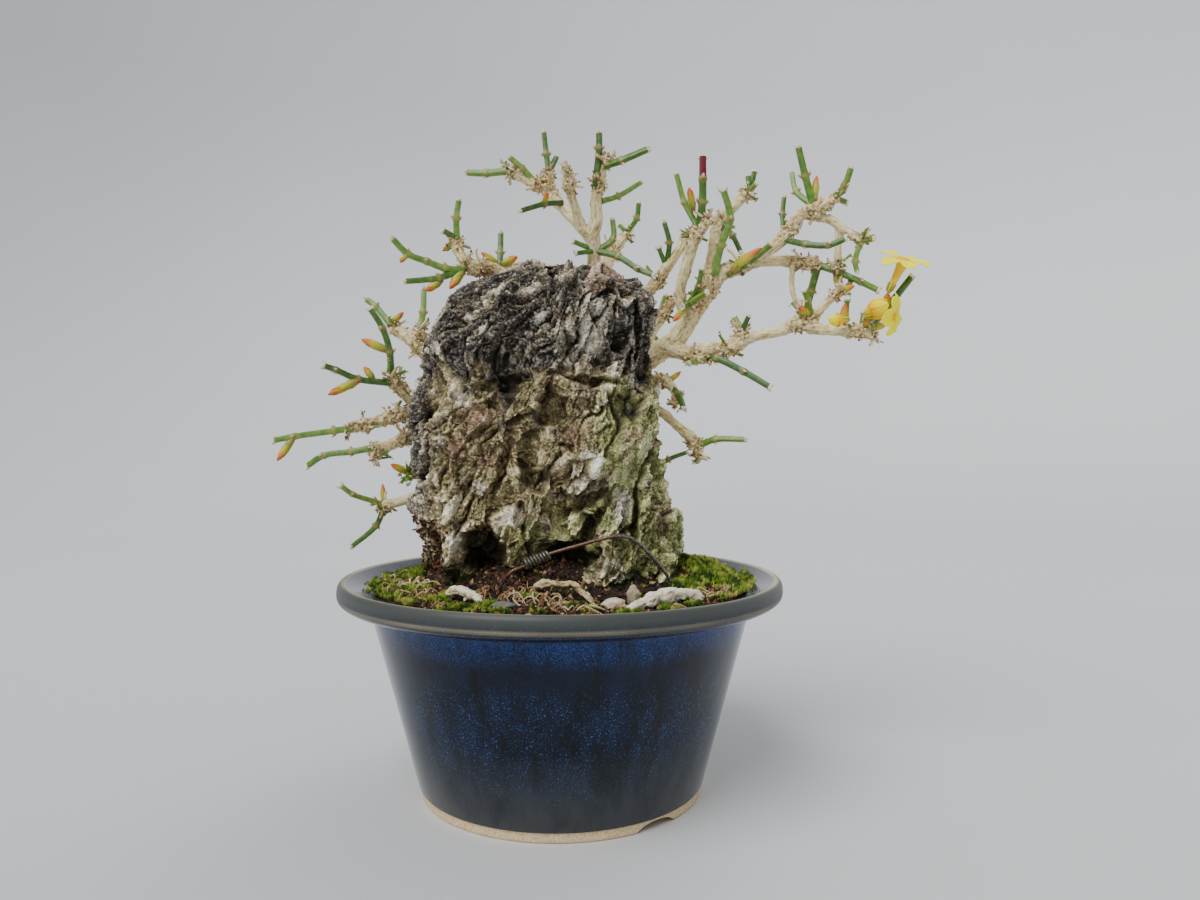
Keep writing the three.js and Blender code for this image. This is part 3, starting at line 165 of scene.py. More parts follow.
FANS: dict[str, Fan] = {
    "shoots_left_long": Fan((-73, 1, 124), [
        Shoot(1.2, [(-79, -1, 123), (-92, -4, 121), (-99, -6, 119.5)])], [
        Bud((-97, -6, 113), 1.3, start=(-92, -4, 121))]),
    "shoots_left_middle": Fan((-70, 19, 117), [
        Shoot(1.2, [(-79, 20, 115.5), (-90, 22, 114), (-97, 24, 110)])]),
    "shoots_left_knob": Fan((-56, 10, 108), [Shoot(1, [(-55, 6, 104)])], [Bud((-61, 7, 111), 1.2)]),
    "shoots_left_low": Fan((-67, 20, 95), [Shoot(1.1, [(-70, 18, 97), (-77, 14, 100), (-81, 12, 103.5)]),
        Shoot(1.1, [(-70, 20, 88), (-79, 18, 80)])], [Bud((-68, 22, 103), 1)]),
    "shoots_left_forward": Fan((-61, 4, 140), [
        Shoot(1.2, [(-71, 0, 141), (-78, -3, 144), (-82, -5, 145.5)])], [
        Bud((-80, -4, 135.5), 1.5, start=(-70, 0, 141)), Bud((-69, 1, 145), 1.2, start=(-66, 2, 141))]),
    "shoots_left_rising": Fan((-61, 6, 144), [Shoot(1.2, [(-61, 4, 151), (-63, 2, 159), (-67, 0, 166)])], [
        Bud((-70, 2, 155), 1.5, start=(-61, 4, 151))]),
    "shoots_left_upper": Fan((-65, 22, 163), [Shoot(1.3, [(-71, 24, 170), (-75, 25, 173)])], [
        Bud((-60, 20, 167), 1.1)]),
    "shoots_left_upright": Fan((-53, 17, 161), [Shoot(1.2, [(-52, 18, 167), (-52, 20, 176)])]),
    "shoots_top_left_long": Fan((-35, 5, 180), [
        Shoot(1.2, [(-41, 2, 180), (-47, 0, 182), (-53, -3, 184), (-58, -6, 189)]),
        Shoot(1.2, [(-43, 1, 176.5), (-55, 0, 175)])], [Bud((-39, 1, 173), 1.5),
        Bud((-47, 0, 172), 1.4, start=(-42, 2, 176)), Bud((-55, -5, 181), 0.9, start=(-53, -3, 184))]),
    "shoots_top_left_upright": Fan((-38, 9, 192), [Shoot(1.2, [(-38, 8, 199), (-37, 8, 206)]),
        Shoot(1.1, [(-43, 6, 194.5)])], [Bud((-43, 10, 188), 1)]),
    "shoots_top_left_short": Fan((-23, 12, 183), [Shoot(1.2, [(-23, 14, 188), (-23, 16, 196)])], [
        Bud((-17, 12, 186), 1.4), Bud((-29, 10, 187), 1.2)]),
    "shoots_crown_left": Fan((-22, 28, 222), [Shoot(1.3, [(-30, 29, 221.5), (-38, 30, 222)])]),
    "shoots_crown_arm": Fan((-12, 26, 218), [Shoot(1.1, [(-16, 24.5, 222), (-21, 23, 226)])]),
    "shoots_crown_tip": Fan((-6, 26, 221), [Shoot(1.2, [(-7, 27, 228), (-8, 28, 237)]),
        Shoot(1.1, [(-3, 29, 228)])]),
    "shoots_crown_inner": Fan((-1, 21, 208), [Shoot(1.1, [(-7, 15, 206), (-16, 10, 202)])], [
        Bud((-6, 12, 209), 1, start=(-7, 15, 206))]),
    "shoots_crown_upright": Fan((11, 17, 206), [Shoot(1.3, [(12, 12, 215), (13, 11, 225), (13, 11, 231)])]),
    "shoots_crown_right": Fan((15, 12, 219), [Shoot(1.2, [(21, 9, 220), (31, 5, 223)])]),
    "shoots_crown_right_low": Fan((14, 15, 207), [Shoot(1.1, [(20, 19, 210), (29, 25, 217)])]),
    "shoots_crown_base": Fan((12, 20, 190), [Shoot(1, [(3, 17, 193)]), Shoot(1, [(4, 15, 188)]),
        Shoot(1.1, [(18, 19, 194), (18, 20, 202)]),
        Shoot(1.2, [(20, 16, 187), (27, 13, 182), (33, 10, 179)])]),
    "shoots_right_inner": Fan((38, 23, 185), [Shoot(1.1, [(39, 20, 193), (37, 20, 201)]),
        Shoot(1, [(35, 22, 192)])]),
    "shoots_right_crimson": Fan((49, 11, 196), [Shoot(1.5, [(50, 9, 205), (50, 8, 213), (50, 8, 221)]),
        Shoot(1.1, [(44, 13, 206), (41, 14, 217)])], [Bud((45, 6, 209), 1.3, start=(47, 10, 202))]),
    "shoots_right_front": Fan((55, 14, 180), [Shoot(1.4, [(57, 11, 190), (60, 9, 199), (57, 6, 209)])]),
    "shoots_right_tips": Fan((70, 25, 214), [Shoot(1.1, [(69, 26, 220)]), Shoot(1.2, [(72, 28, 222)]),
        Shoot(1, [(72, 22, 216)])]),
    "shoots_right_drooping": Fan((59, 21, 200), [Shoot(1.1, [(62, 17, 195), (65, 15, 188)])]),
    "shoots_right_big_bud": Fan((60, 13, 180), [Shoot(1.1, [(66, 8, 183), (74, 3, 189)])], [
        Bud((70, 5, 187.5), 2)]),
    "shoots_right_knuckle": Fan((46, 17, 170), [Shoot(1, [(49, 13, 176), (50, 11, 182)]),
        Shoot(1.1, [(43, 12, 168)]), Shoot(1.1, [(52, 9, 173)])], [Bud((40, 12, 163), 1.2)]),
    "shoots_right_diagonal": Fan((50, 13, 150), [Shoot(1.3, [(55, 8, 149), (64, 4, 144), (73, 0, 138)]),
        Shoot(1, [(45, 9, 147)])]),
    "shoots_right_under": Fan((38, 22, 141), [Shoot(1.2, [(42, 17, 137), (44, 14, 131)])], [
        Bud((43, 20, 145), 1)]),
    "shoots_right_low": Fan((50, 15, 118), [Shoot(1.1, [(55, 12, 120), (66, 8, 120)])]),
    "shoots_branch_stub": Fan((65, 12, 160), [Shoot(1, [(67, 9, 165)]), Shoot(1, [(62, 14, 165)])]),
    "shoots_far_tips": Fan((88, 2, 202), [Shoot(1.3, [(85, 1, 212), (82, -1, 222)]),
        Shoot(1.1, [(83, 6, 208), (82, 9, 216)])], [Bud((90, 5, 213), 1.3)]),
    "shoots_far_point": Fan((95, 0, 204), [Shoot(1.1, [(98, -2, 208), (100, -3, 214)]),
        Shoot(1, [(100, 2, 203)])]),
    "shoots_far_inner": Fan((79, 6, 191), [Shoot(1, [(79, 10, 201), (80, 12, 208)]),
        Shoot(1.1, [(85, 0, 188), (92, -3, 187), (98, -5, 189)])]),
    "shoots_far_arm": Fan((104, -1, 189), [Shoot(1, [(108, -4, 189)]),
        Shoot(1, [(102, -1, 182), (103, 0, 178)])]),
    "shoots_far_long": Fan((92, 11, 183), [Shoot(1.2, [(99, 6, 179), (105, 3, 175.5), (111, 1, 172)]),
        Shoot(1.4, [(90, 13, 174), (88, 15, 164)])], [Bud((99, 6, 173), 1.3, start=(97, 7, 179))]),
    "shoots_branch_knuckle": Fan((88, 5, 164), [Shoot(1, [(86, 1, 169), (84, -1, 172)])], [
        Bud((83, 1, 166), 1.3)]),
    "shoots_branch_upper": Fan((97, 1, 172), [Shoot(1, [(101, 4, 174), (103, 7, 178)])], [
        Bud((101, -2, 173), 1.1)]),
    "shoots_branch_buds": Fan((99, 3, 160), [Shoot(1, [(101, 7, 164), (102, 9, 170)])], [
        Bud((99, 1, 167), 1.4)]),
    "shoots_flowering": Fan((107, 3, 159), [
        Shoot(1.2, [(111, 2, 163), (114.5, 1.5, 167), (122, -1, 177)])], [Bud((115, 7, 161), 1.5),
        Bud((105.5, -2.2, 162.3), 1.2), Bud((113, -1.6, 170.3), 1.3, start=(113.5, 2, 166))]),
    "shoots_back_left": Fan((-22, 62, 138), [Shoot(1.2, [(-27, 64, 146), (-30, 64, 154)]),
        Shoot(1.1, [(-29, 66, 138), (-36, 67, 136)])], [Bud((-20, 68, 143), 1.3)]),
    "shoots_back_right": Fan((33, 60, 167), [Shoot(1.2, [(38, 62, 173), (41, 64, 181)]),
        Shoot(1.1, [(35, 67, 165), (38, 72, 163)])], [Bud((28, 63, 172), 1.3)]),
    "shoots_back_top": Fan((24, 46, 203), [Shoot(1.1, [(28, 48, 209), (29, 49, 216)]),
        Shoot(1, [(21, 50, 207)])]),
    "shoots_back_low": Fan((35, 48, 108), [Shoot(1.1, [(41, 50, 112), (49, 52, 115)]),
        Shoot(1, [(34, 53, 113)])]),
}

SURFACE_ROOTS: dict[str, list[Row]] = {
    "surface_root_right": [(20, -49, 67.5, 1.8), (26, -46, 71, 2.2), (33, -42, 72.5, 2.4),
        (40, -39, 72.8, 2.1), (46, -38, 70, 1.6)],
    "surface_root_middle": [(-9, -34, 71.5, 1.3), (-5, -37, 75.5, 1.4), (1, -38, 75.4, 1.4),
        (6, -38, 74.6, 1.4), (12, -42, 69.5, 1.3)],
    "surface_root_left": [(-34, -38, 71, 1.5), (-30, -41, 74, 1.7), (-25, -44, 73, 1.6),
        (-21, -46, 69.5, 1.3)],
}


# Numbers and paths

def linear(hex_colour: str) -> tuple[float, float, float, float]:
    """Turn an sRGB hex colour to a linear one.

    Args:
        hex_colour: "#rrggbb".

    Returns:
        Red, green, blue and alpha, linear, 0 to 1.
    """
    parts = [int(hex_colour[i:i + 2], 16) / 255 for i in (1, 3, 5)]
    red, green, blue = [p / 12.92 if p <= 0.04045 else ((p + 0.055) / 1.055) ** 2.4 for p in parts]
    return (red, green, blue, 1.0)


def per(size_mm: float) -> float:
    """Return the texture scale, per metre, that gives a pattern of this size in mm."""
    return 1 / (size_mm * MM)


def bell(distance: float) -> float:
    """Return a smooth hump that is 1 at 0 and dies out past 2."""
    return math.exp(-distance * distance)


def step(low: float, high: float, value: float) -> float:
    """Return 0 below low, 1 above high and a smooth rise between them."""
    t = min(max((value - low) / (high - low), 0.0), 1.0)
    return t * t * (3 - 2 * t)


def squeezed(p: Vector, size: Point) -> Vector:
    """Return a place counted in cells of this size."""
    return Vector((p.x / size[0], p.y / size[1], p.z / size[2]))


def rolling(x: float, y: float, size: float, layer: float) -> float:
    """Return a smooth noise over the ground, with humps of this size in mm."""
    return noise.noise(Vector((x / size, y / size, layer)))


def level_way(angle: float) -> Vector:
    """Return the level direction at an angle in radians."""
    return Vector((math.cos(angle), math.sin(angle), 0))


def jolt(draw: random.Random, size: float) -> Vector:
    """Return a random push of about this size in any direction."""
    return Vector((draw.gauss(0, size), draw.gauss(0, size), draw.gauss(0, size)))


def any_turn(draw: random.Random) -> float:
    """Return a random turn in radians."""
    return draw.uniform(0, 6.28)


def gone_along(path: np.ndarray) -> np.ndarray:
    """Return how far along a path each of its rows is."""
    return np.concatenate([[0], np.cumsum(np.linalg.norm(np.diff(path, axis=0), axis=1))])


def laid_path(points: Sequence[Row], spacing: float) -> np.ndarray:
    """Lay a smooth curve through points, with any further columns carried along.

    Args:
        points: Rows of x, y, z and, if wanted, more values such as a radius.
        spacing: About how far apart the returned rows are, in mm.

    Returns:
        The rows of the curve, its first and last ones as given.
    """
    given = np.asarray(points, float)
    ends = [2 * given[0] - given[1], 2 * given[-1] - given[-2]]
    rows = np.vstack([ends[0], given, ends[1]])
    reach = np.linalg.norm(np.diff(rows[:, :3], axis=0), axis=1)
    knots = np.concatenate([[0], np.cumsum(np.sqrt(np.maximum(reach, 1e-6)))])
    laid = [given[0]]
    for i in range(1, len(rows) - 2):
        count = max(2, math.ceil(reach[i] / spacing))
        for t in np.linspace(knots[i], knots[i + 1], count + 1)[1:]:
            level = list(rows[i - 1:i + 3])
            for depth in (1, 2, 3):
                level = [
                    _between(level[j], level[j + 1], knots, i - 1 + j, depth, t)
                    for j in range(4 - depth)
                ]
            laid.append(level[0])
    return np.array(laid)


def _between(a: np.ndarray, b: np.ndarray, knots: np.ndarray, j: int, depth: int, t: float) -> np.ndarray:
    """Return one step of the curve's pyramid of mixes."""
    if depth == 3:
        low, high = knots[j + 1], knots[j + 2]
    else:
        low, high = knots[j], knots[j + depth]
    share = (t - low) / (high - low)
    return a * (1 - share) + b * share


def frames_along(path: np.ndarray) -> tuple[np.ndarray, np.ndarray, np.ndarray]:
    """Return the tangents of a path and two directions across it that don't twist."""
    tangents = np.gradient(path, axis=0)
    tangents /= np.maximum(np.linalg.norm(tangents, axis=1, keepdims=True), 1e-9)
    sides = np.zeros_like(path)
    side = np.cross(tangents[0], (0.31, 0.2, 0.93) if abs(tangents[0][2]) < 0.9 else (1, 0, 0))
    for i, tangent in enumerate(tangents):
        side = side - tangent * side.dot(tangent)
        side = side / np.linalg.norm(side)
        sides[i] = side
    return tangents, sides, np.cross(tangents, sides)


def aimed(at: Sequence[float], aim: Sequence[float], size: Sequence[float], spin: float = 0) -> Matrix:
    """Return the matrix that stands a shape, drawn upright at the origin, somewhere else.

    Args:
        at: Where its foot goes.
        aim: The direction in which it points.
        size: Its scale across, across and along.
        spin: Its turn about its own length, in radians.
    """
    turn = Vector(aim).to_track_quat("Z", "Y").to_matrix().to_4x4()
    return Matrix.Translation(at) @ turn @ Matrix.Rotation(spin, 4, "Z") @ Matrix.Diagonal((*size, 1))


# Surfaces

@dataclass
class Shape:
    """A surface being made, in mm round the pot's axis.

    Args:
        points: One row of x, y, z a vertex.
        faces: The vertices of each face, outwards.
        slots: The number of each face's finish.
        values: Numbers a vertex by name, which the finishes read.
    """

    points: np.ndarray
    faces: list[tuple[int, ...]]
    slots: list[int]
    values: dict[str, np.ndarray] = field(default_factory=dict)

    def copies(self, places: Sequence[Matrix], values: dict[str, Sequence[float]] | None = None) -> "Shape":
        """Return one shape that holds a copy of this one at each place.

        Args:
            places: The matrix of each copy.
            values: Further numbers by name, one a copy.
        """
        count = len(self.points)
        moves = np.array([np.array(place) for place in places]).reshape(-1, 4, 4)
        spots = np.einsum("kij,nj->kni", moves[:, :3, :3], self.points) + moves[:, None, :3, 3]
        faces = [tuple(v + k * count for v in face) for k in range(len(moves)) for face in self.faces]
        carried = {name: np.tile(each, len(moves)) for name, each in self.values.items()}
        for name, each in (values or {}).items():
            carried[name] = np.repeat(np.asarray(each, float), count)
        return Shape(spots.reshape(-1, 3), faces, self.slots * len(moves), carried)

    def toned(self, tone: float, name: str = "tone") -> "Shape":
        """Give the whole shape one tone, or another value of this name, and return it."""
        self.values[name] = np.full(len(self.points), tone)
        return self


def joined(shapes: Iterable[Shape]) -> Shape:
    """Return all these shapes as one; a value that one of them lacks is 0 there."""
    shapes = list(shapes)
    names = sorted({name for shape in shapes for name in shape.values})
    faces: list[tuple[int, ...]] = []
    slots: list[int] = []
    start = 0
    for shape in shapes:
        faces += [tuple(v + start for v in face) for face in shape.faces]
        slots += shape.slots
        start += len(shape.points)
    values = {
        name: np.concatenate([s.values.get(name, np.zeros(len(s.points))) for s in shapes])
        for name in names
    }
    return Shape(np.vstack([s.points for s in shapes]), faces, slots, values)


def swept(path: np.ndarray, radii: np.ndarray, outline: np.ndarray, slot: int = 0, cut: int = 0) -> Shape:
    """Sweep an outline along a path and close both ends.

    Args:
        path: The rows x, y, z of the path.
        radii: The outline's scale at each row.
        outline: Its corners round the path, at scale 1.
        slot: The finish of the side.
        cut: The finish of the far end.

    Returns:
        The shape, with the distance along it as the value "along".
    """
    _, sides, ups = frames_along(path)
    rings, corners = len(path), len(outline)
    across = outline[:, 0, None] * sides[:, None, :] + outline[:, 1, None] * ups[:, None, :]
    points = (path[:, None, :] + across * radii[:, None, None]).reshape(-1, 3)
    points = np.vstack([points, path[0], path[-1]])
    start, end = rings * corners, rings * corners + 1
    faces, slots = [], []
    for j in range(corners):
        after = (j + 1) % corners
        for i in range(rings - 1):
            a, b = i * corners, (i + 1) * corners
            faces.append((a + j, a + after, b + after, b + j))
            slots.append(slot)
        faces += [(start, after, j), (end, end - 1 - corners + j, end - 1 - corners + after)]
        slots += [slot, cut]
    gone = gone_along(path)
    return Shape(points, faces, slots, {"along": np.concatenate([np.repeat(gone, corners), [0, gone[-1]]])})


def round_outline(corners: int, squareness: float = 2) -> np.ndarray:
    """Return a ring of corners, from round at squareness 2 towards a square with soft edges."""
    turns = np.linspace(0, 2 * math.pi, corners, endpoint=False) + math.pi / corners
    ring = np.stack([np.cos(turns), np.sin(turns)], axis=1)
    power = 2 / squareness
    return np.sign(ring) * np.abs(ring) ** power


# Blender's tools

def deselect_all() -> None:
    """Leave object mode if need be and deselect everything."""
    if bpy.context.object and bpy.context.object.mode != "OBJECT":
        bpy.ops.object.mode_set(mode="OBJECT")
    bpy.ops.object.select_all(action="DESELECT")


def select_only(piece: Piece) -> None:
    """Make a piece the active object and the only one selected."""
    deselect_all()
    bpy.context.view_layer.objects.active = piece
    piece.select_set(True)


def primitive(tool: Callable[..., set], name: str = "start", **settings: object) -> Piece:
    """Add one of Blender's primitives with nothing else selected, name it and return it."""
    deselect_all()
    tool(**settings)
    bpy.context.object.name = name
    return bpy.context.object


def in_scene(name: str, data: bpy.types.ID) -> Piece:
    """Return a new object of this name that holds this data."""
    piece = bpy.data.objects.new(name, data)
    bpy.context.collection.objects.link(piece)
    return piece


def edit(piece: Piece, *tools: tuple[Callable[..., set], dict]) -> None:
    """Run edit-mode tools one after the other on all of a piece.

    Args:
        piece: The object to edit.
        tools: Pairs of a tool and its settings.
    """
    select_only(piece)
    bpy.ops.object.mode_set(mode="EDIT")
    bpy.ops.mesh.select_all(action="SELECT")
    for tool, settings in tools:
        tool(**settings)
    bpy.ops.object.mode_set(mode="OBJECT")


def finish_with(piece: Piece, kind: str, **settings: object) -> None:
    """Add a modifier of this kind, with its settings, and apply it."""
    modifier = piece.modifiers.new(kind.title(), kind)
    for name, value in settings.items():
        setattr(modifier, name, value)
    select_only(piece)
    bpy.ops.object.modifier_apply(modifier=modifier.name)


def melt(piece: Piece, voxel: float, softness: float, rounds: int) -> None:
    """Remesh a piece into one skin, with voxels of this size in mm, and smooth it."""
    finish_with(piece, "REMESH", mode="VOXEL", voxel_size=voxel * MM)
    finish_with(piece, "SMOOTH", factor=softness, iterations=rounds)


def points_of(piece: Piece) -> np.ndarray:
    """Return a piece's vertices, one row each."""
    flat = np.empty(3 * len(piece.data.vertices))
    piece.data.vertices.foreach_get("co", flat)
    return flat.reshape(-1, 3)


def normals_of(piece: Piece) -> np.ndarray:
    """Return a piece's vertex normals, one row each."""
    flat = np.empty(3 * len(piece.data.vertices))
    piece.data.vertex_normals.foreach_get("vector", flat)
    return flat.reshape(-1, 3)


def own_points(piece: Piece) -> np.ndarray:
    """Return a piece's vertices in mm round the pot's axis."""
    return points_of(piece) / MM - (AXIS_X, 0, 0)


def relief_of(piece: Piece, rounds: int) -> np.ndarray:
    """Return how far each vertex stands out of its surroundings, in mm, below 0 in a dip.

    Args:
        piece: The object.
        rounds: How many neighbours away the surroundings reach.
    """
    ends = np.empty(2 * len(piece.data.edges), int)
    piece.data.edges.foreach_get("vertices", ends)
    one, other = np.concatenate([ends[0::2], ends[1::2]]), np.concatenate([ends[1::2], ends[0::2]])
    points = points_of(piece) / MM
    count = np.maximum(np.bincount(one, minlength=len(points)), 1)
    level = points
    for _ in range(rounds):
        level = np.stack([np.bincount(one, level[other, k], len(points)) / count for k in range(3)], axis=1)
    return np.einsum("ij,ij->i", points - level, normals_of(piece))


def set_points(piece: Piece, points: np.ndarray) -> None:
    """Move a piece's vertices to these rows."""
    piece.data.vertices.foreach_set("co", np.asarray(points, float).ravel())
    piece.data.update()


def set_values(piece: Piece, values: dict[str, np.ndarray]) -> None:
    """Store numbers a vertex, or rows of three a vertex, by name, for the finishes to read."""
    for name, each in values.items():
        kind = "FLOAT" if each.ndim == 1 else "FLOAT_VECTOR"
        attribute = piece.data.attributes.new(name, kind, "POINT")
        attribute.data.foreach_set("value" if each.ndim == 1 else "vector", each.ravel())


def taken(piece: Piece, slot: int = 0) -> Shape:
    """Return a piece's mesh as a shape and remove the piece; "share" runs from its foot to its top."""
    points = points_of(piece)
    faces = [tuple(polygon.vertices) for polygon in piece.data.polygons]
    share = points[:, 2] - points[:, 2].min()
    share = share / max(share.max(), 1e-9)
    bpy.data.objects.remove(piece)
    return Shape(points, faces, [slot] * len(faces), {"share": share})


def dress(piece: Piece, finishes: Sequence["Finish"], nodes: Sequence[str] = (),
          smooth: float = 40) -> Piece:
    """Give a finished mesh its materials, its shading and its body.

    Args:
        piece: The object, at the origin.
        finishes: One for each of its material slots.
        nodes: The CAD nodes that it stands for.
        smooth: Edges up to this angle, in degrees, are shaded smooth.
    """
    for each in finishes:
        piece.data.materials.append(each.material())
    select_only(piece)
    bpy.ops.object.shade_smooth_by_angle(angle=math.radians(smooth))
    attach(piece, BODY)
    if nodes:
        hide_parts(*nodes)
    log.info("%s: %d faces", piece.name, len(piece.data.polygons))
    return piece


def placed(points: np.ndarray) -> np.ndarray:
    """Turn rows in mm round the pot's axis to metres in the frame."""
    return (np.asarray(points, float) + (AXIS_X, 0, 0)) * MM


def surface_tree(piece: Piece) -> BVHTree:
    """Return a search tree of a piece's surface, in mm round the pot's axis."""
    faces = [tuple(polygon.vertices) for polygon in piece.data.polygons]
    return BVHTree.FromPolygons([Vector(p) for p in own_points(piece)], faces)


def point_tree(rows: Sequence[Row] | np.ndarray) -> KDTree:
    """Return a search tree of the places at the start of these rows."""
    tree = KDTree(len(rows))
    for i, row in enumerate(rows):
        tree.insert(Vector(row[:3]), i)
    tree.balance()
    return tree


def stood_up(name: str, shape: Shape) -> Piece:
    """Make a shape an object in the frame's metres, with its slots and values."""
    mesh = bpy.data.meshes.new(name)
    mesh.from_pydata(placed(shape.points), [], shape.faces)
    piece = in_scene(name, mesh)
    mesh.polygons.foreach_set("material_index", shape.slots)
    set_values(piece, shape.values)
    mesh.update()
    return piece


def feed(node: bpy.types.Node, inputs: dict[str | int, object]) -> None:
    """Fill a node's inputs.

    Args:
        node: The node.
        inputs: For each input a value, an output to link to it, an sRGB colour as "#rrggbb" or the name of a
            value that is stored on the mesh.
    """
    for key, value in inputs.items():
        if isinstance(value, str) and value[0] != "#":
            value = add(node.id_data, "Attribute", out="Fac", attribute_name=value)
        if isinstance(value, Socket):
            node.id_data.links.new(value, node.inputs[key])
        else:
            node.inputs[key].default_value = linear(value) if isinstance(value, str) else value


def add(tree: Tree, kind: str, inputs: dict[str | int, object] | None = None, stops: Stops = (),
        out: str | int = 0, **settings: object) -> Socket:
    """Add a shader node with its settings, its values and its links.

    Args:
        tree: The material's node tree.
        kind: The node's type, without the "ShaderNode" before it.
        inputs: What goes into each input, as for feed.
        stops: Places and sRGB hex colours, for a node with a colour ramp.
        out: The output that is wanted.
        settings: The node's own settings.

    Returns:
        The wanted output.
    """
    node = tree.nodes.new("ShaderNode" + kind)
    for name, value in settings.items():
        setattr(node, name, value)
    feed(node, inputs or {})
    for i, (at, colour) in enumerate(stops):
        elements = node.color_ramp.elements
        stop = elements[i] if i < 2 else elements.new(at)
        stop.position = at
        stop.color = linear(colour)
    return node.outputs[out]


COLOUR_A, COLOUR_B = 6, 7      # the Mix node's two colour inputs
IN_COLOUR = {"data_type": "RGBA", "out": 2}   # makes it mix colours


# Finishes

MATERIALS: dict[str, bpy.types.Material] = {}   # those made so far, by title


@dataclass(frozen=True)
class Finish:
    """What every finish shares.

    Args:
        title: The name of its material.
        roughness: How rough it is.
        depth: How deep its fine relief is, in mm, or 0 for none.
        strength: How strongly that relief shows.
        ior: Its refraction.
    """

    title: str
    roughness: float = 0.8
    depth: float = 0.2
    strength: float = 0.6
    ior: float = 1.5

    def material(self) -> bpy.types.Material:
        """Return the material, made on its first use and shared after that."""
        if self.title not in MATERIALS:
            made = bpy.data.materials.new(self.title)
            made.use_nodes = True
            tree = made.node_tree
            height, given = self.paint(tree, add(tree, "TexCoord", out="Object"))
            given |= {"Roughness": given.get("Roughness", self.roughness), "IOR": self.ior}
            if self.depth:
                given["Normal"] = add(tree, "Bump", {"Height": height, "Strength": self.strength,
                                                     "Distance": self.depth * MM})
            feed(tree.nodes["Principled BSDF"], given)
            MATERIALS[self.title] = made
        return MATERIALS[self.title]

    def paint(self, tree: Tree, place: Socket) -> tuple[Socket, dict[str, object]]:
        """Add the nodes of the finish.

        Args:
            tree: The material's node tree.
            place: The output with the place on the piece, in metres.

        Returns:
            The height of its relief, from 0 to 1, and what goes into the shader.
        """
        raise NotImplementedError


@dataclass(frozen=True)
class GlazedStoneware(Finish):
    """Thrown stoneware in a fired navy glaze: a deep wet gloss, bright blue crystals in its thick parts,
    bluer where it pooled under the lip, slate grey on the lip, painted shade in a dark band under the lip,
    and worn thin to the tan body on edges."""

    crystal: float = 0.42      # mm across the blue specks
    dust: float = 0.28         # mm across the finer ones between them
    drift: float = 6.0         # mm across the clouds of specks
    full: float = 80           # mm, the height that the colour bands are laid out on
    hazy: float = 30           # mm, the height under which the foot turns hazy
    deep: str = "#020409"
    navy: str = "#0b1933"
    pooled: str = "#1c4c9c"
    speck: str = "#4f8ed8"
    haze: str = "#3c3f41"
    slate: str = "#474b48"
    # painted shade in the band under the lip
    iron: str = "#0f0b09"
    worn: str = "#d8cc9c"

    def paint(self, tree: Tree, place: Socket) -> tuple[Socket, dict[str, object]]:
        """Mix the glaze by height, then the specks, the haze at the foot and the worn edges."""
        height = add(tree, "SeparateXYZ", {0: place}, out="Z")
        run = add(tree, "Mapping", {"Vector": place, "Scale": (1, 1, 0.35)})
        clouds = add(tree, "TexNoise", {"Vector": run, "Scale": per(self.drift), "Detail": 5.0,
                                        "Roughness": 0.6})
        specks = add(tree, "TexNoise", {"Vector": place, "Scale": per(self.crystal), "Detail": 2.0})
        dust = add(tree, "TexNoise", {"Vector": run, "Scale": per(self.dust), "Detail": 1.0})
        up = add(tree, "MapRange", {"Value": height, "From Min": 0.0, "From Max": self.full * MM})
        pool = add(tree, "ValToRGB", {0: up}, [
            (0.0, "#141414"), (0.3, "#101010"), (0.6, "#181818"), (0.68, "#202020"), (0.73, "#b0b0b0"),
            (0.785, "#f0f0f0"), (0.82, "#404040")])
        streaked = add(tree, "MapRange", {"Value": dust, "From Min": 0.38, "From Max": 0.68, "To Max": 2.0})
        dotted = add(tree, "MapRange", {"Value": specks, "From Min": 0.6, "From Max": 0.74, "To Max": 0.7})
        veil = add(tree, "MapRange", {"Value": clouds, "From Min": 0.25, "From Max": 0.57})
        calm = add(tree, "ValToRGB", {0: up}, [
            (0.0, "#707070"), (0.2, "#ffffff"), (0.56, "#ffffff"), (0.63, "#505050"), (0.67, "#404040"),
            (0.72, "#ffffff")])
        thin = add(tree, "MapRange", {"Value": height, "From Min": self.hazy * MM, "From Max": 4 * MM,
                                      "To Max": 2.0})
        for share in (clouds, streaked):
            pool = add(tree, "Math", {0: pool, 1: share}, operation="MULTIPLY")
        for share in (veil, calm):
            dotted = add(tree, "Math", {0: dotted, 1: share}, operation="MULTIPLY")
        thin = add(tree, "Math", {0: thin, 1: clouds}, operation="MULTIPLY")
        colour = add(tree, "ValToRGB", {0: clouds}, [(0.35, self.deep), (0.65, self.navy)])
        for share, over in (
            (pool, self.pooled), (dotted, self.speck), (thin, self.haze), ("glaze_slate", self.slate),
            ("glaze_iron", self.iron), ("glaze_worn", self.worn),
        ):
            colour = add(tree, "Mix", {0: share, COLOUR_A: colour, COLOUR_B: over}, **IN_COLOUR)
        gloss = add(tree, "MapRange", {"Value": "glaze_slate", "From Max": 0.16, "To Min": self.roughness,
                                       "To Max": 0.42})
        return clouds, {"Base Color": colour, "Roughness": gloss, "Specular IOR Level": 0.28}


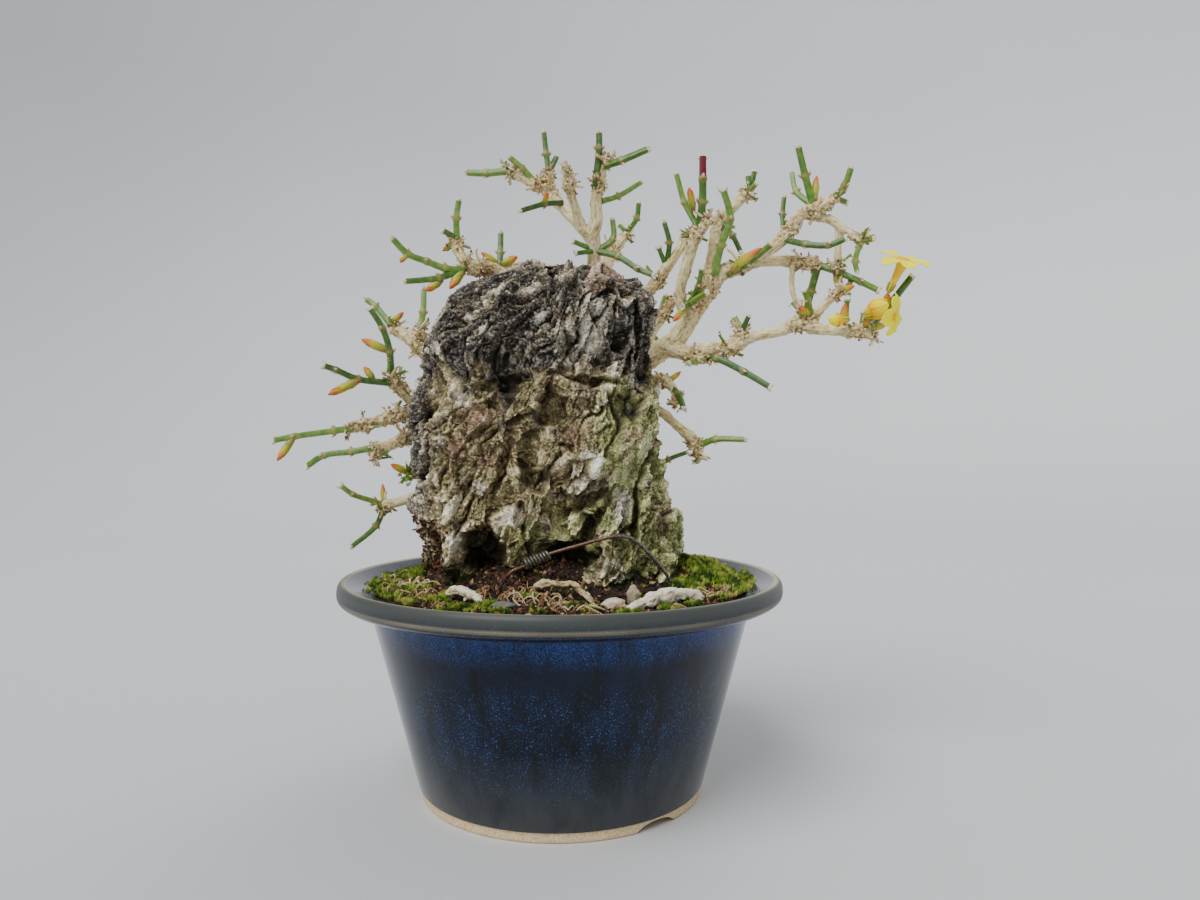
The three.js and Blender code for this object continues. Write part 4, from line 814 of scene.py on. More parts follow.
@dataclass(frozen=True)
class WeatheredCrag(Finish):
    """Rain-worn limestone with lichen: charcoal crust above, olive tan below, powdery yellow-green
    lichen, white scabs, painted shade that turns its clefts black and painted highlight on its crests. Dead
    matt."""

    grit: float = 0.8
    pit: float = 0.45
    blotch: float = 4.0

    def paint(self, tree: Tree, place: Socket) -> tuple[Socket, dict[str, object]]:
        """Lay the zones over one another, each broken up by grit, paint shade into the clefts and dips, and
        paint highlight on the crests.
        """
        fine = add(tree, "TexNoise", {"Vector": place, "Scale": per(self.grit), "Detail": 5.0,
                                      "Roughness": 0.7})
        blotches = add(tree, "TexNoise", {"Vector": place, "Scale": per(self.blotch), "Detail": 4.0})
        pits = add(tree, "TexNoise", {"Vector": place, "Scale": per(self.pit), "Detail": 3.0,
                                      "Roughness": 0.6})
        both = add(tree, "Mix", {0: 0.45, 2: fine, 3: blotches})
        chip = add(tree, "MapRange", {"Value": "crag_tone", "To Min": -0.12, "To Max": 0.12})
        both = add(tree, "Math", {0: both, 1: chip}, operation="ADD")
        colour = add(tree, "ValToRGB", {0: both}, [
            (0.3, "#5d533a"), (0.39, "#a1966f"), (0.47, "#d2c7a2"), (0.57, "#ece3c8"), (0.68, "#fbf6e6")])
        layers = (
            ("crag_lichen", [(0.28, "#565a32"), (0.38, "#8e9360"), (0.49, "#bdc28c"), (0.65, "#ecf0cc")]),
            ("crag_moss", [(0.3, "#1e2a0c"), (0.5, "#3f5218"), (0.65, "#5f7a26")]),
            ("crag_char", [(0.33, "#1b1610"), (0.42, "#463c2e"), (0.5, "#8f8169"), (0.57, "#d9cfb8"),
                           (0.65, "#fffcf2")]),
            ("crag_pink", [(0.35, "#8d6f5a"), (0.5, "#c4a591"), (0.65, "#ead2c2")]),
            ("crag_pale", [(0.32, "#a8a291"), (0.48, "#dcd7c9"), (0.64, "#fffdf6")]),
        )
        for zone, stops in layers:
            ragged = add(tree, "Math", {0: zone, 1: both}, operation="ADD")
            edge = add(tree, "MapRange", {"Value": ragged, "From Min": 0.74, "From Max": 1.14})
            layer = add(tree, "ValToRGB", {0: both}, stops)
            colour = add(tree, "Mix", {0: edge, COLOUR_A: colour, COLOUR_B: layer}, **IN_COLOUR)
        # Painted shade: clefts, hollows and dips darkened down to near black
        shade = add(tree, "ValToRGB", {0: "crag_cleft"}, [
            (0.0, "#ffffff"), (0.4, "#c9c1b0"), (1.0, "#241f17")])
        broken = add(tree, "MapRange", {"Value": fine, "From Min": 0.35, "From Max": 0.6})
        # The crests: pale weathered edges on the charred crust, and a painted highlight on every ridge
        crest_frost_and_highlight = add(tree, "Math", {0: "crag_crest", 1: broken}, operation="MULTIPLY")
        frosted = add(tree, "Math", {0: crest_frost_and_highlight, 1: "crag_char"}, operation="MULTIPLY")
        frosted = add(tree, "Math", {0: frosted, 1: 0.6}, operation="MULTIPLY")
        pitted = add(tree, "ValToRGB", {0: pits}, [(0.34, "#5c5544"), (0.42, "#c4bda9"), (0.5, "#ffffff")])
        # Painted shade multiplied in, the crests lightened as painted highlight, their frosted crust colour,
        # then the pits
        for share, over, way in ((1.0, shade, "MULTIPLY"), (crest_frost_and_highlight, (2.2, 2.15, 2.0, 1), "MULTIPLY"),
                                 (frosted, "#dcd8cd", "MIX"), (0.8, pitted, "MULTIPLY")):
            both_in = {0: share, COLOUR_A: colour, COLOUR_B: over}
            colour = add(tree, "Mix", both_in, blend_type=way, **IN_COLOUR)
        return add(tree, "Math", {0: fine, 1: pits}, operation="ADD"), {"Base Color": colour}


@dataclass(frozen=True)
class JasmineBark(Finish):
    """Old jasmine wood: dry cream-tan skin with fine cracks along the limb, brown and shaggy where it
    has been cut back to knuckles."""

    crack: float = 0.7
    fleck: float = 1.3
    soil: str = "#6b5f43"      # what stains the wood near the ground
    shadow: str = "#4d3620"    # painted shade in its dips

    def paint(self, tree: Tree, place: Socket) -> tuple[Socket, dict[str, object]]:
        """Streak the bark along the limb and brown the knuckles."""
        grain = add(tree, "Attribute", out="Vector", attribute_name="bark_grain")
        drawn = add(tree, "Mapping", {"Vector": grain, "Scale": (1, 1, 0.22)})
        cracks = add(tree, "TexNoise", {"Vector": drawn, "Scale": 1 / self.crack, "Detail": 4.0,
                                        "Roughness": 0.65})
        colour = add(tree, "ValToRGB", {0: cracks}, [
            (0.3, "#84692f"), (0.39, "#ccb06c"), (0.47, "#f0dda2"), (0.58, "#fff4cc")])
        flecks = add(tree, "TexNoise", {"Vector": place, "Scale": per(self.fleck), "Detail": 3.0})
        shaggy = add(tree, "ValToRGB", {0: flecks}, [
            (0.36, "#553a18"), (0.44, "#a68246"), (0.52, "#dfc283"), (0.6, "#fbe8b6")])
        worn = add(tree, "Math", {0: "bark_knuckle", 1: 0.85}, operation="MULTIPLY")
        # The soil stain near the ground, then painted shade in the dips
        for share, over in ((worn, shaggy), ("bark_damp", self.soil), ("bark_dip", self.shadow)):
            colour = add(tree, "Mix", {0: share, COLOUR_A: colour, COLOUR_B: over}, **IN_COLOUR)
        return cracks, {"Base Color": colour}


@dataclass(frozen=True)
class GreenStem(Finish):
    """A year-old jasmine shoot: smooth, a little waxy, mid to dark green, tan at its joints."""

    mottle: float = 1.6
    joint: str = "#b09a55"

    def paint(self, tree: Tree, place: Socket) -> tuple[Socket, dict[str, object]]:
        """Vary the green by shoot and along it."""
        patches = add(tree, "TexNoise", {"Vector": place, "Scale": per(self.mottle), "Detail": 3.0})
        tone = add(tree, "Mix", {0: 0.5, 2: patches, 3: "tone"})
        green = add(tree, "ValToRGB", {0: tone}, [
            (0.25, "#2a4810"), (0.45, "#47701c"), (0.6, "#6a912f"), (0.8, "#97b056")])
        colour = add(tree, "Mix", {0: "joint", COLOUR_A: green, COLOUR_B: self.joint}, **IN_COLOUR)
        return patches, {"Base Color": colour, "Coat Weight": 0.15}


@dataclass(frozen=True)
class Graded(Finish):
    """A soft plant skin whose colour runs from its foot to its tip, with a little mottling.

    Args:
        stops: The colours from foot to tip.
        veil: How much light goes through it.
        glow: The strength of an emission in its own colour: a painted glow for the light that comes through
            from behind.
        mottle: The size of its mottling, in mm.
        blur: How far that mottling shifts the colours, as a share of its length.
    """

    stops: Stops = ()
    veil: float = 0.0
    glow: float = 0.0
    mottle: float = 0.8
    blur: float = 0.16

    def paint(self, tree: Tree, place: Socket) -> tuple[Socket, dict[str, object]]:
        """Run the colours along the skin."""
        patches = add(tree, "TexNoise", {"Vector": place, "Scale": per(self.mottle), "Detail": 2.0})
        shift = add(tree, "MapRange", {"Value": patches, "To Min": -self.blur, "To Max": self.blur})
        where = add(tree, "Math", {0: "share", 1: shift}, operation="ADD")
        colour = add(tree, "ValToRGB", {0: where}, self.stops)
        given = {"Base Color": colour, "Subsurface Weight": self.veil,
                 "Subsurface Radius": (0.0012, 0.0010, 0.0004)}
        # Painted glow: the skin emits light in its own colour
        if self.glow:
            given |= {"Specular IOR Level": 0.15, "Emission Color": colour, "Emission Strength": self.glow}
        return patches, given


@dataclass(frozen=True)
class Mixed(Finish):
    """A loose or grown stuff whose pieces differ in colour, each grain with its own "tone".

    Args:
        stops: The colours from the darkest piece to the palest.
        grain: The size of the grain within a piece, in mm.
        sway: How much it shifts a piece's own tone.
    """

    stops: Stops = ()
    grain: float = 0.8
    sway: float = 0.35

    def paint(self, tree: Tree, place: Socket) -> tuple[Socket, dict[str, object]]:
        """Colour each piece by its tone and the grain within it."""
        grain = add(tree, "TexNoise", {"Vector": place, "Scale": per(self.grain), "Detail": 4.0,
                                       "Roughness": 0.6})
        shift = add(tree, "MapRange", {"Value": grain, "To Min": -self.sway, "To Max": self.sway})
        where = add(tree, "Math", {0: "tone", 1: shift}, operation="ADD")
        return grain, {"Base Color": add(tree, "ValToRGB", {0: where}, self.stops)}


@dataclass(frozen=True)
class Speckled(Finish):
    """A made stuff of one kind whose colour wanders a little from grain to grain.

    Args:
        stops: The colours from the lowest grain to the highest.
        grain: The size of the grain, in mm.
        detail: How many finer grains it holds.
        metal: How metallic the stuff is, from 0 to 1.
    """

    stops: Stops = ()
    grain: float = 0.6
    detail: float = 4.0
    metal: float = 0.0

    def paint(self, tree: Tree, place: Socket) -> tuple[Socket, dict[str, object]]:
        """Colour and raise the stuff by its grain."""
        grain = add(tree, "TexNoise", {"Vector": place, "Scale": per(self.grain), "Detail": self.detail})
        return grain, {"Base Color": add(tree, "ValToRGB", {0: grain}, self.stops), "Metallic": self.metal}


GLAZE = GlazedStoneware("navy_glazed_stoneware", 0.14, 0.3, 0.2)
# Unglazed fired clay at the foot: matt buff with fine grog grains
BISCUIT = Speckled("biscuit_stoneware", 0.85, 0.15, grain=0.5, detail=3.0, stops=(
    (0.3, "#b8996a"), (0.5, "#dec599"), (0.7, "#f2dfb8")))
CRAG = WeatheredCrag("weathered_crag", 0.93, 0.45, 0.8)
BARK = JasmineBark("jasmine_bark", 0.85, 0.25)
STEM = GreenStem("square_green_shoot", 0.45, 0.08, 0.4)
# The cut end of a shoot: dry, pale and corky
PITH = Graded("cut_pith", 0.8, 0.08, 0.4, stops=((0.2, "#cfc9a0"), (0.7, "#f1edd4")))
# Papery scales at the joints, reddish at the foot and bleached at the tip
SCALE = Graded("dry_bud_scale", 0.6, 0.08, 0.4, stops=(
    (0.0, "#7c3a2c"), (0.25, "#b4735a"), (0.5, "#d9ab86"), (0.8, "#ead9b4"), (1.0, "#f6f0dc")))
# A plump bud: yellow-green with a red tip, a little translucent
BUD_SKIN = Graded("flower_bud", 0.45, 0.08, 0.4, veil=0.15, stops=(
    (0.0, "#8a3328"), (0.16, "#a8894a"), (0.35, "#a9b13c"), (0.6, "#d3c132"), (0.78, "#e08a35"),
    (1.0, "#d8432f")))
# The one shoot that frost has turned dark wine red
CRIMSON = Graded("crimson_skin", 0.4, 0.08, 0.4, stops=((0.0, "#4d0314"), (1.0, "#74081f")))
# Thin clear yellow, deeper in the throat, with a painted glow for the light that comes through from behind
PETAL = Graded("jasmine_petal", 0.6, 0.08, 0.4, glow=0.12, stops=(
    (0.0, "#ffb400"), (0.12, "#ffd400"), (0.28, "#ffec00"), (0.55, "#fff600"), (1.0, "#fffa00")))
# The flower's tube, golden above and greenish at the foot
TUBE = Graded("corolla_tube", 0.6, 0.08, 0.4, stops=((0.0, "#b0a818"), (0.2, "#ffd800"), (1.0, "#ffca00")))
# The small green cup under it with red tips
CALYX = Graded("calyx", 0.6, 0.08, 0.4, stops=((0.0, "#6b7f2a"), (0.7, "#9aa33c"), (1.0, "#8a3b2a")))
# Damp dark earth, matt and crumbly
SOIL = Mixed("potting_soil", 0.97, 0.6, grain=1.2, stops=(
    (0.1, "#0d0906"), (0.4, "#241811"), (0.65, "#422d1e"), (1.0, "#7a5c42")))
# Dry husks round the knuckles, straw to brown, a few of them reddish
SCAR = Mixed("knuckle_scar", 0.85, 0.15, grain=0.9, sway=0.25, stops=(
    (0.0, "#7a5630"), (0.25, "#b39160"), (0.5, "#dcc491"), (0.85, "#f3e6bf"), (1.0, "#b4684c")))
# Loose grains: black earth, red-brown clay and a few bits of pale bark
CRUMB = Mixed("soil_crumb", 0.95, grain=0.6, stops=(
    (0.0, "#1a100b"), (0.35, "#3a2519"), (0.6, "#5e3a28"), (0.8, "#8a5a40"), (1.0, "#b9a078")))
# Fresh moss from dark to yellow-green, with some dry leaves
MOSS = Mixed("living_moss", 0.7, 0.05, grain=1.4, sway=0.4, stops=(
    (0.0, "#263a0d"), (0.3, "#4a6c14"), (0.55, "#83a026"), (0.8, "#bcc455"), (1.0, "#cdb06a")))
# Bleached dead rootlets with a soft sheen
STRAW = Mixed("dry_root_fibre", 0.75, 0.05, grain=2.0, stops=(
    (0.0, "#7d5a3a"), (0.4, "#b48f62"), (0.75, "#d8bd8d"), (1.0, "#efe0bd")))
# Bare cream root bark, with painted shade that browns its dips
ROOT_BARK = Mixed("surface_root_bark", 0.8, 0.25, grain=1.0, sway=0.3, stops=(
    (0.0, "#4f4324"), (0.25, "#8c7a45"), (0.5, "#d3c292"), (0.75, "#f4eac8"), (1.0, "#fffbea")))
# Smooth dull pebbles, grey-green to cream
PEBBLE = Mixed("river_pebble", 0.7, grain=1.6, stops=(
    (0.0, "#4c5750"), (0.35, "#7c8378"), (0.6, "#b9ab86"), (1.0, "#ece3c6")))
# Soft training wire gone dull brown, with fine rub marks, and its brighter grey end
COPPER = Speckled("copper_wire", 0.38, 0.05, 0.5, metal=0.75, stops=((0.38, "#4f3c30"), (0.62, "#85695a")))
GREY_END = Speckled("bright_wire", 0.45, 0.05, 0.5, metal=0.75, stops=((0.38, "#4c4a44"), (0.62, "#8f8a7e")))
# Moulded polyethylene: near black, with a low waxy sheen and soil dust on it
NET = Speckled("polyethylene_net", 0.5, 0.05, grain=2.0, stops=((0.45, "#16181c"), (0.7, "#3a322a")))
# A matt pale floor, faintly uneven, so that it isn't a flat colour
FLOOR = Speckled("studio_floor", 0.75, 0, grain=500, detail=2.0, stops=((0.2, "#d2d3d5"), (0.8, "#d6d7d8")))


# The studio

@dataclass
class Studio:
    """The camera at the photograph's place, a pale floor and soft lights.

    Args:
        lens: Focal length for a 36 mm wide sensor.
        eye: The camera's place in the frame, in mm.
        dip: How far it looks down, in degrees.
    """

    lens: float = 26.55
    eye: Point = (-1.06, -309, 119)
    dip: float = 0.5
    floor_radius: float = 1.2
    wall_curve: float = 1.1
    wall_steps: int = 12
    wall_height: float = 0.5   # metres that the wall rises above its curve
    softness: float = 40       # degrees across each light in the sky
    sky_colour: str = "#d3d6da"
    sky_strength: float = 0.62

    def build(self) -> None:
        """Make the camera, the floor, the sky and the lights."""
        camera = in_scene("camera", bpy.data.cameras.new("camera"))
        camera.data.lens = self.lens
        camera.data.sensor_width = 36
        camera.data.clip_start = 0.01
        camera.location = Vector(self.eye) * MM
        camera.rotation_euler = (math.radians(90 - self.dip), 0, 0)
        bpy.context.scene.camera = camera
        floor = primitive(bpy.ops.mesh.primitive_circle_add, "studio_floor", vertices=128,
                          radius=self.floor_radius, fill_type="NGON")
        self.draw_up(floor)
        floor.data.materials.append(FLOOR.material())
        world = bpy.data.worlds.new("soft_sky")
        world.use_nodes = True
        sky = world.node_tree.nodes["Background"]
        feed(sky, {"Color": self.sky_colour, "Strength": self.sky_strength})
        bpy.context.scene.world = world
        self.soft_sun("key", (-0.5, -0.7, 1.0), 2.9)
        self.soft_sun("back", (0.5, 0.7, 0.9), 0.7)

    def draw_up(self, floor: Piece) -> None:
        """Draw the floor's rim out and up into a curved wall all round, so no edge shows behind the pot."""
        select_only(floor)
        bpy.ops.object.mode_set(mode="EDIT")
        bpy.ops.mesh.select_mode(type="EDGE")
        bpy.ops.mesh.select_all(action="SELECT")
        radius = self.floor_radius
        for i in range(self.wall_steps):
            low, high = math.pi / 2 * i / self.wall_steps, math.pi / 2 * (i + 1) / self.wall_steps
            lift = self.wall_curve * (math.cos(low) - math.cos(high))
            wider = radius + self.wall_curve * (math.sin(high) - math.sin(low))
            bpy.ops.mesh.extrude_edges_move(TRANSFORM_OT_translate={"value": (0, 0, lift)})
            scale = wider / radius
            bpy.ops.transform.resize(value=(scale, scale, 1), center_override=(0, 0, 0))
            radius = wider
        bpy.ops.mesh.extrude_edges_move(TRANSFORM_OT_translate={"value": (0, 0, self.wall_height)})
        bpy.ops.object.mode_set(mode="OBJECT")
        floor.data.polygons.foreach_set("use_smooth", [True] * len(floor.data.polygons))

    def soft_sun(self, name: str, towards: Point, strength: float) -> None:
        """Light the scene evenly from one side, with wide soft shadows."""
        lamp = bpy.data.lights.new(name, "SUN")
        lamp.angle = math.radians(self.softness)
        lamp.energy = strength
        in_scene(name, lamp).rotation_euler = Vector(towards).to_track_quat("Z", "Y").to_euler()


# The pot and what lies in it

@dataclass
class Pot:
    """The thrown pot: one outline spun round the axis, with three arched notches in its foot."""

    foot_radius: float = 48.2
    foot_width: float = 6.5
    foot_rise: float = 3.2
    underside: float = 4.6
    floor: float = 10
    wall: float = 5
    body_radius: float = 65
    body_top: float = 64
    lip_radius: float = 75.8
    ridge_radius: float = 74.3
    height: float = 73.2
    drain_radius: float = 10
    notch_width: float = 15
    notch_rise: float = 2.6
    notch_turns: tuple[float, ...] = (-50, 70, 190)
    steps: int = 224

    def inner_radius(self, z: float) -> float:
        """Return the inside radius at a height."""
        slope = (self.body_radius - self.foot_radius) / (self.body_top - self.foot_rise)
        return self.foot_radius + (z - self.foot_rise) * slope - self.wall

    def outline(self) -> list[Row]:
        """Return the outline's corners: radius, height and how far each is rounded."""
        foot, body, top, rim = self.foot_radius, self.body_radius, self.body_top, self.lip_radius
        lip = top + 5.5
        return [
            (foot - self.foot_width, 0, 0.8), (foot, 0, 0.9), (foot + 0.1, self.foot_rise, 0.15),
            (foot + 0.75, self.foot_rise + 0.3, 0.3), (foot + 6.4, 25, 5), (body, top, 1.6),
            (body + 5.5, top + 0.6, 2.0), (rim - 1, top + 2.6, 1.4), (rim, self.height - 4.6, 1.2),
            (rim - 0.3, self.height - 1.4, 0.9), (self.ridge_radius, self.height, 0.6),
            (self.ridge_radius - 1.6, self.height - 0.5, 0.5), (self.inner_radius(lip) + 2.6, lip + 0.6, 1.5),
            (self.inner_radius(top) + 0.4, top, 3), (self.inner_radius(self.floor + 4), self.floor + 4, 2),
            (self.inner_radius(self.floor) - 2.5, self.floor, 2), (self.drain_radius, self.floor, 0.8),
            (self.drain_radius, self.underside, 0.8), (foot - self.foot_width - 1.5, self.underside, 1.2),
        ]

    def rounded(self) -> list[tuple[float, float]]:
        """Return the outline with its corners rounded and its long sides divided."""
        corners = [(Vector((r, z)), size) for r, z, size in self.outline()]
        places: list[Vector] = []
        for i, (corner, size) in enumerate(corners):
            before, after = corners[i - 1][0], corners[(i + 1) % len(corners)][0]
            start = corner + (before - corner).normalized() * size
            end = corner + (after - corner).normalized() * size
            places += [start.lerp(corner, t).lerp(corner.lerp(end, t), t) for t in (0, 0.33, 0.67, 1)]
        return [(place.x, place.y) for place in places]

    def build(self) -> None:
        """Spin the outline, cut the notches and mark the glaze."""
        outline = self.rounded()
        piece = primitive(bpy.ops.mesh.primitive_circle_add, "glazed_pot", vertices=len(outline), radius=0.05)
        set_points(piece, placed([(r, 0, z) for r, z in outline]))
        edit(piece, (bpy.ops.mesh.spin, {"steps": self.steps, "angle": 2 * math.pi, "axis": (0, 0, 1),
                                         "center": (AXIS_X * MM, 0, 0)}))
        edit(piece, (bpy.ops.mesh.remove_doubles, {"threshold": 1e-6}),
             (bpy.ops.mesh.normals_make_consistent, {"inside": False}))
        points = own_points(piece)
        self.notch(points)
        set_points(piece, placed(points))
        self.mark(piece, points)
        dress(piece, (GLAZE, BISCUIT), ("pot",), 35)

    def notch(self, points: np.ndarray) -> None:
        """Lift the foot ring over an arch at each notch."""
        radius = np.hypot(points[:, 0], points[:, 1])
        turn = np.degrees(np.arctan2(points[:, 1], points[:, 0]))
        for at in self.notch_turns:
            away = np.radians((turn - at + 180) % 360 - 180) * radius / (self.notch_width / 2)
            arch = self.notch_rise * np.sqrt(np.clip(1 - away ** 2, 0, 1))
            low = points[:, 2] < self.foot_rise
            points[:, 2] = np.where(low, np.maximum(points[:, 2], arch), points[:, 2])

    def mark(self, piece: Piece, points: np.ndarray) -> None:
        """Store where the glaze is slate or worn and where shade is painted dark under the lip, and leave the
        foot and underside bare.
        """
        radius, height = np.hypot(points[:, 0], points[:, 1]), points[:, 2]
        turn = np.arctan2(points[:, 1], points[:, 0])
        uneven = 0.8 + 0.2 * np.sin(turn * 3 + 1) + 0.12 * np.sin(turn * 17)
        outer = (radius > self.body_radius + 4) & (height > self.body_top)
        slate = outer * np.clip((height - self.body_top - 3.2) / 3.6, 0, 1) * 0.95
        inside = (radius < self.ridge_radius - 1) & (height > self.floor)
        # Painted shade: a dark band where the body meets the underside of the lip
        iron = np.exp(-((height - self.body_top - 0.9) / 1.5) ** 2) * (radius > self.body_radius - 1.5) * 0.92
        worn = np.exp(-(np.hypot(radius - self.ridge_radius + 0.9, height - self.height) / 0.7) ** 2)
        lower = np.exp(-(np.hypot(radius - self.lip_radius + 0.2, height - self.height + 5.2) / 0.5) ** 2)
        set_values(piece, {
            "glaze_slate": np.where(inside, 0.0, slate), "glaze_iron": iron,
            "glaze_worn": np.clip(worn * uneven + lower * 0.4 * uneven, 0, 1),
        })
        for polygon in piece.data.polygons:
            top = max(points[v][2] for v in polygon.vertices)
            far = max(radius[v] for v in polygon.vertices)
            bare = top < self.foot_rise + 0.25 or (top < self.underside + 0.5 and far < self.foot_radius - 3)
            polygon.material_index = 1 if bare else 0


@dataclass
class Drainage:
    """The net over the drainage hole and the wire that holds it keep their CAD shapes."""

    def build(self) -> None:
        """Give the two CAD nodes their materials."""
        for node, finish in (("drainage_mesh", NET), ("mesh_staple", COPPER)):
            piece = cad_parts[node]
            for slot in piece.material_slots:
                slot.material = finish.material()
            log.info("%s: CAD node dressed", node)


@dataclass
class Ground:
    """The lie of the soil: a mound round the rock, a scoop in front and a rise under the moss cushion."""

    edge: float = 69.5
    mound: float = 11.5
    mound_at: tuple[float, float] = (-4, 4)
    mound_spread: tuple[float, float] = (48, 33)
    dip: float = 3.2
    dip_at: tuple[float, float] = (20, -38)
    dip_spread: float = 13
    cushion: float = 4.5
    cushion_at: tuple[float, float] = (50, 4)
    cushion_spread: float = 12
    radius: float = 63.0

    def top(self, x: float, y: float) -> float:
        """Return the height of what moss grows on: the soil or, past it, the slope inside the lip."""
        past = math.hypot(x, y) - self.radius
        return self.height(x, y) if past < 0 else self.edge + 0.5 + 0.3 * past

    def height(self, x: float, y: float) -> float:
        """Return the height of the soil at a place, before its crumbs."""
        mound = bell(math.hypot((x - self.mound_at[0]) / self.mound_spread[0],
                                (y - self.mound_at[1]) / self.mound_spread[1]))
        dip = bell(math.hypot(x - self.dip_at[0], y - self.dip_at[1]) / self.dip_spread)
        rise = bell(math.hypot(x - self.cushion_at[0], y - self.cushion_at[1]) / self.cushion_spread)
        inside = max(1 - (math.hypot(x, y) / self.radius) ** 6, 0)
        rough = 0.8 * rolling(x, y, 9, 3.0)
        return self.edge + inside * (self.mound * mound - self.dip * dip + self.cushion * rise + rough)


GROUND = Ground()

# Pads of moss: x, y, half width across and front to back, and thickness, in mm
MOSS_PADS: list[Row] = [
    (54, -5, 12, 15, 3.2), (58, -20, 8, 9, 2.4), (46, 14, 9, 9, 2.4), (41, -22, 6, 6, 2.0),
    (52, -35, 6, 4, 1.4), (38, -33, 3, 2.5, 1.0), (-55, -8, 9, 13, 2.0), (-50, -27, 10, 8, 1.7),
    (-38, -39, 8, 4.5, 1.4), (-58, 10, 7, 9, 1.8), (-28, -52, 7, 3.5, 1.4), (-15, -56, 4, 2.5, 1.2),
    (-20, -46, 4, 3, 1.1), (-44, -41, 5, 3, 1.3), (-4, -57, 4, 2, 1.0), (5, -50, 3, 3, 1.2),
    (11, -53, 3.5, 2.5, 1.5), (21, -57, 4, 2, 1.2), (33, -50, 4, 2.5, 1.3), (42, -44, 3.5, 2.5, 1.2),
    (30, -34, 3, 2, 0.9), (-40, 40, 12, 9, 2.2), (-12, 52, 10, 6, 2.0), (18, 54, 11, 6, 2.2),
    (42, 38, 9, 8, 2.4), (-53, 26, 6, 8, 1.8), (-9, -40, 3, 2, 0.8), (57, 8, 5, 9, 2.0),
]


def moss_depth(x: float, y: float) -> float:
    """Return how thick the moss is at a place, in mm; it is ragged at the edge of each pad."""
    ragged = 0.6 * rolling(x, y, 2.6, 7.0) + 0.3 * rolling(x, y, 6, 1.0)
    ragged += 0.5 * step(0.0, 0.3, rolling(x, y, 4, 20.0)) * step(20, -30, x)
    best = 0.0
    for at_x, at_y, across, deep, thick in MOSS_PADS:
        away = math.hypot((x - at_x) / across, (y - at_y) / deep) + ragged
        best = max(best, thick * step(1.15, 0.55, away))
    return best


@dataclass
class Soil:
    """The packed soil: a fine grid drawn out to a disc, crumbled on top, and closed down to the floor."""

    ground: Ground
    cells: int = 150
    bottom: float = 10.6
    bottom_radius: float = 44.5

    def disc(self, a: float, b: float) -> tuple[float, float]:
        """Map a place on the square from -1 to 1 to a place on the soil's disc."""
        if a == 0 and b == 0:
            return (0.0, 0.0)
        if abs(a) > abs(b):
            reach, turn = a, math.pi / 4 * b / a
        else:
            reach, turn = b, math.pi / 2 - math.pi / 4 * a / b
        return (self.ground.radius * reach * math.cos(turn), self.ground.radius * reach * math.sin(turn))

    def build(self) -> None:
        """Shape the top, draw the wall down and close the bottom."""
        piece = primitive(bpy.ops.mesh.primitive_grid_add, "packed_soil", x_subdivisions=self.cells,
                          y_subdivisions=self.cells, size=2)
        rows = []
        for a, b, _ in points_of(piece):
            x, y = self.disc(a, b)
            grain = noise.fractal(Vector((x / 2.2, y / 2.2, 0)), 0.8, 2.1, 4)
            rim = step(63.5, 60, math.hypot(x, y))
            rows.append((x, y, self.ground.height(x, y) + moss_depth(x, y) * 0.55 * rim + 0.75 * grain * rim))
        set_points(piece, placed(np.array(rows)))
        self.close(piece)
        tone = np.array([0.45 + 0.25 * rolling(x, y, 7, 5.0) for x, y, _ in own_points(piece)])
        set_values(piece, {"tone": tone})
        dress(piece, (SOIL,), ("soil",), 60)

    def close(self, piece: Piece) -> None:
        """Extrude the rim down the pot's wall and fill the bottom."""
        select_only(piece)
        bpy.ops.object.mode_set(mode="EDIT")
        bpy.ops.mesh.select_mode(type="EDGE")
        bpy.ops.mesh.select_all(action="SELECT")
        bpy.ops.mesh.region_to_loop()
        drop = (self.bottom - self.ground.edge) * MM
        bpy.ops.mesh.extrude_region_move(TRANSFORM_OT_translate={"value": (0, 0, drop)})
        shrink = self.bottom_radius / self.ground.radius
        bpy.ops.transform.resize(value=(shrink, shrink, 1), center_override=(AXIS_X * MM, 0, 0))
        bpy.ops.mesh.edge_face_add()
        bpy.ops.mesh.select_all(action="SELECT")
        bpy.ops.mesh.normals_make_consistent(inside=False)
        bpy.ops.object.mode_set(mode="OBJECT")


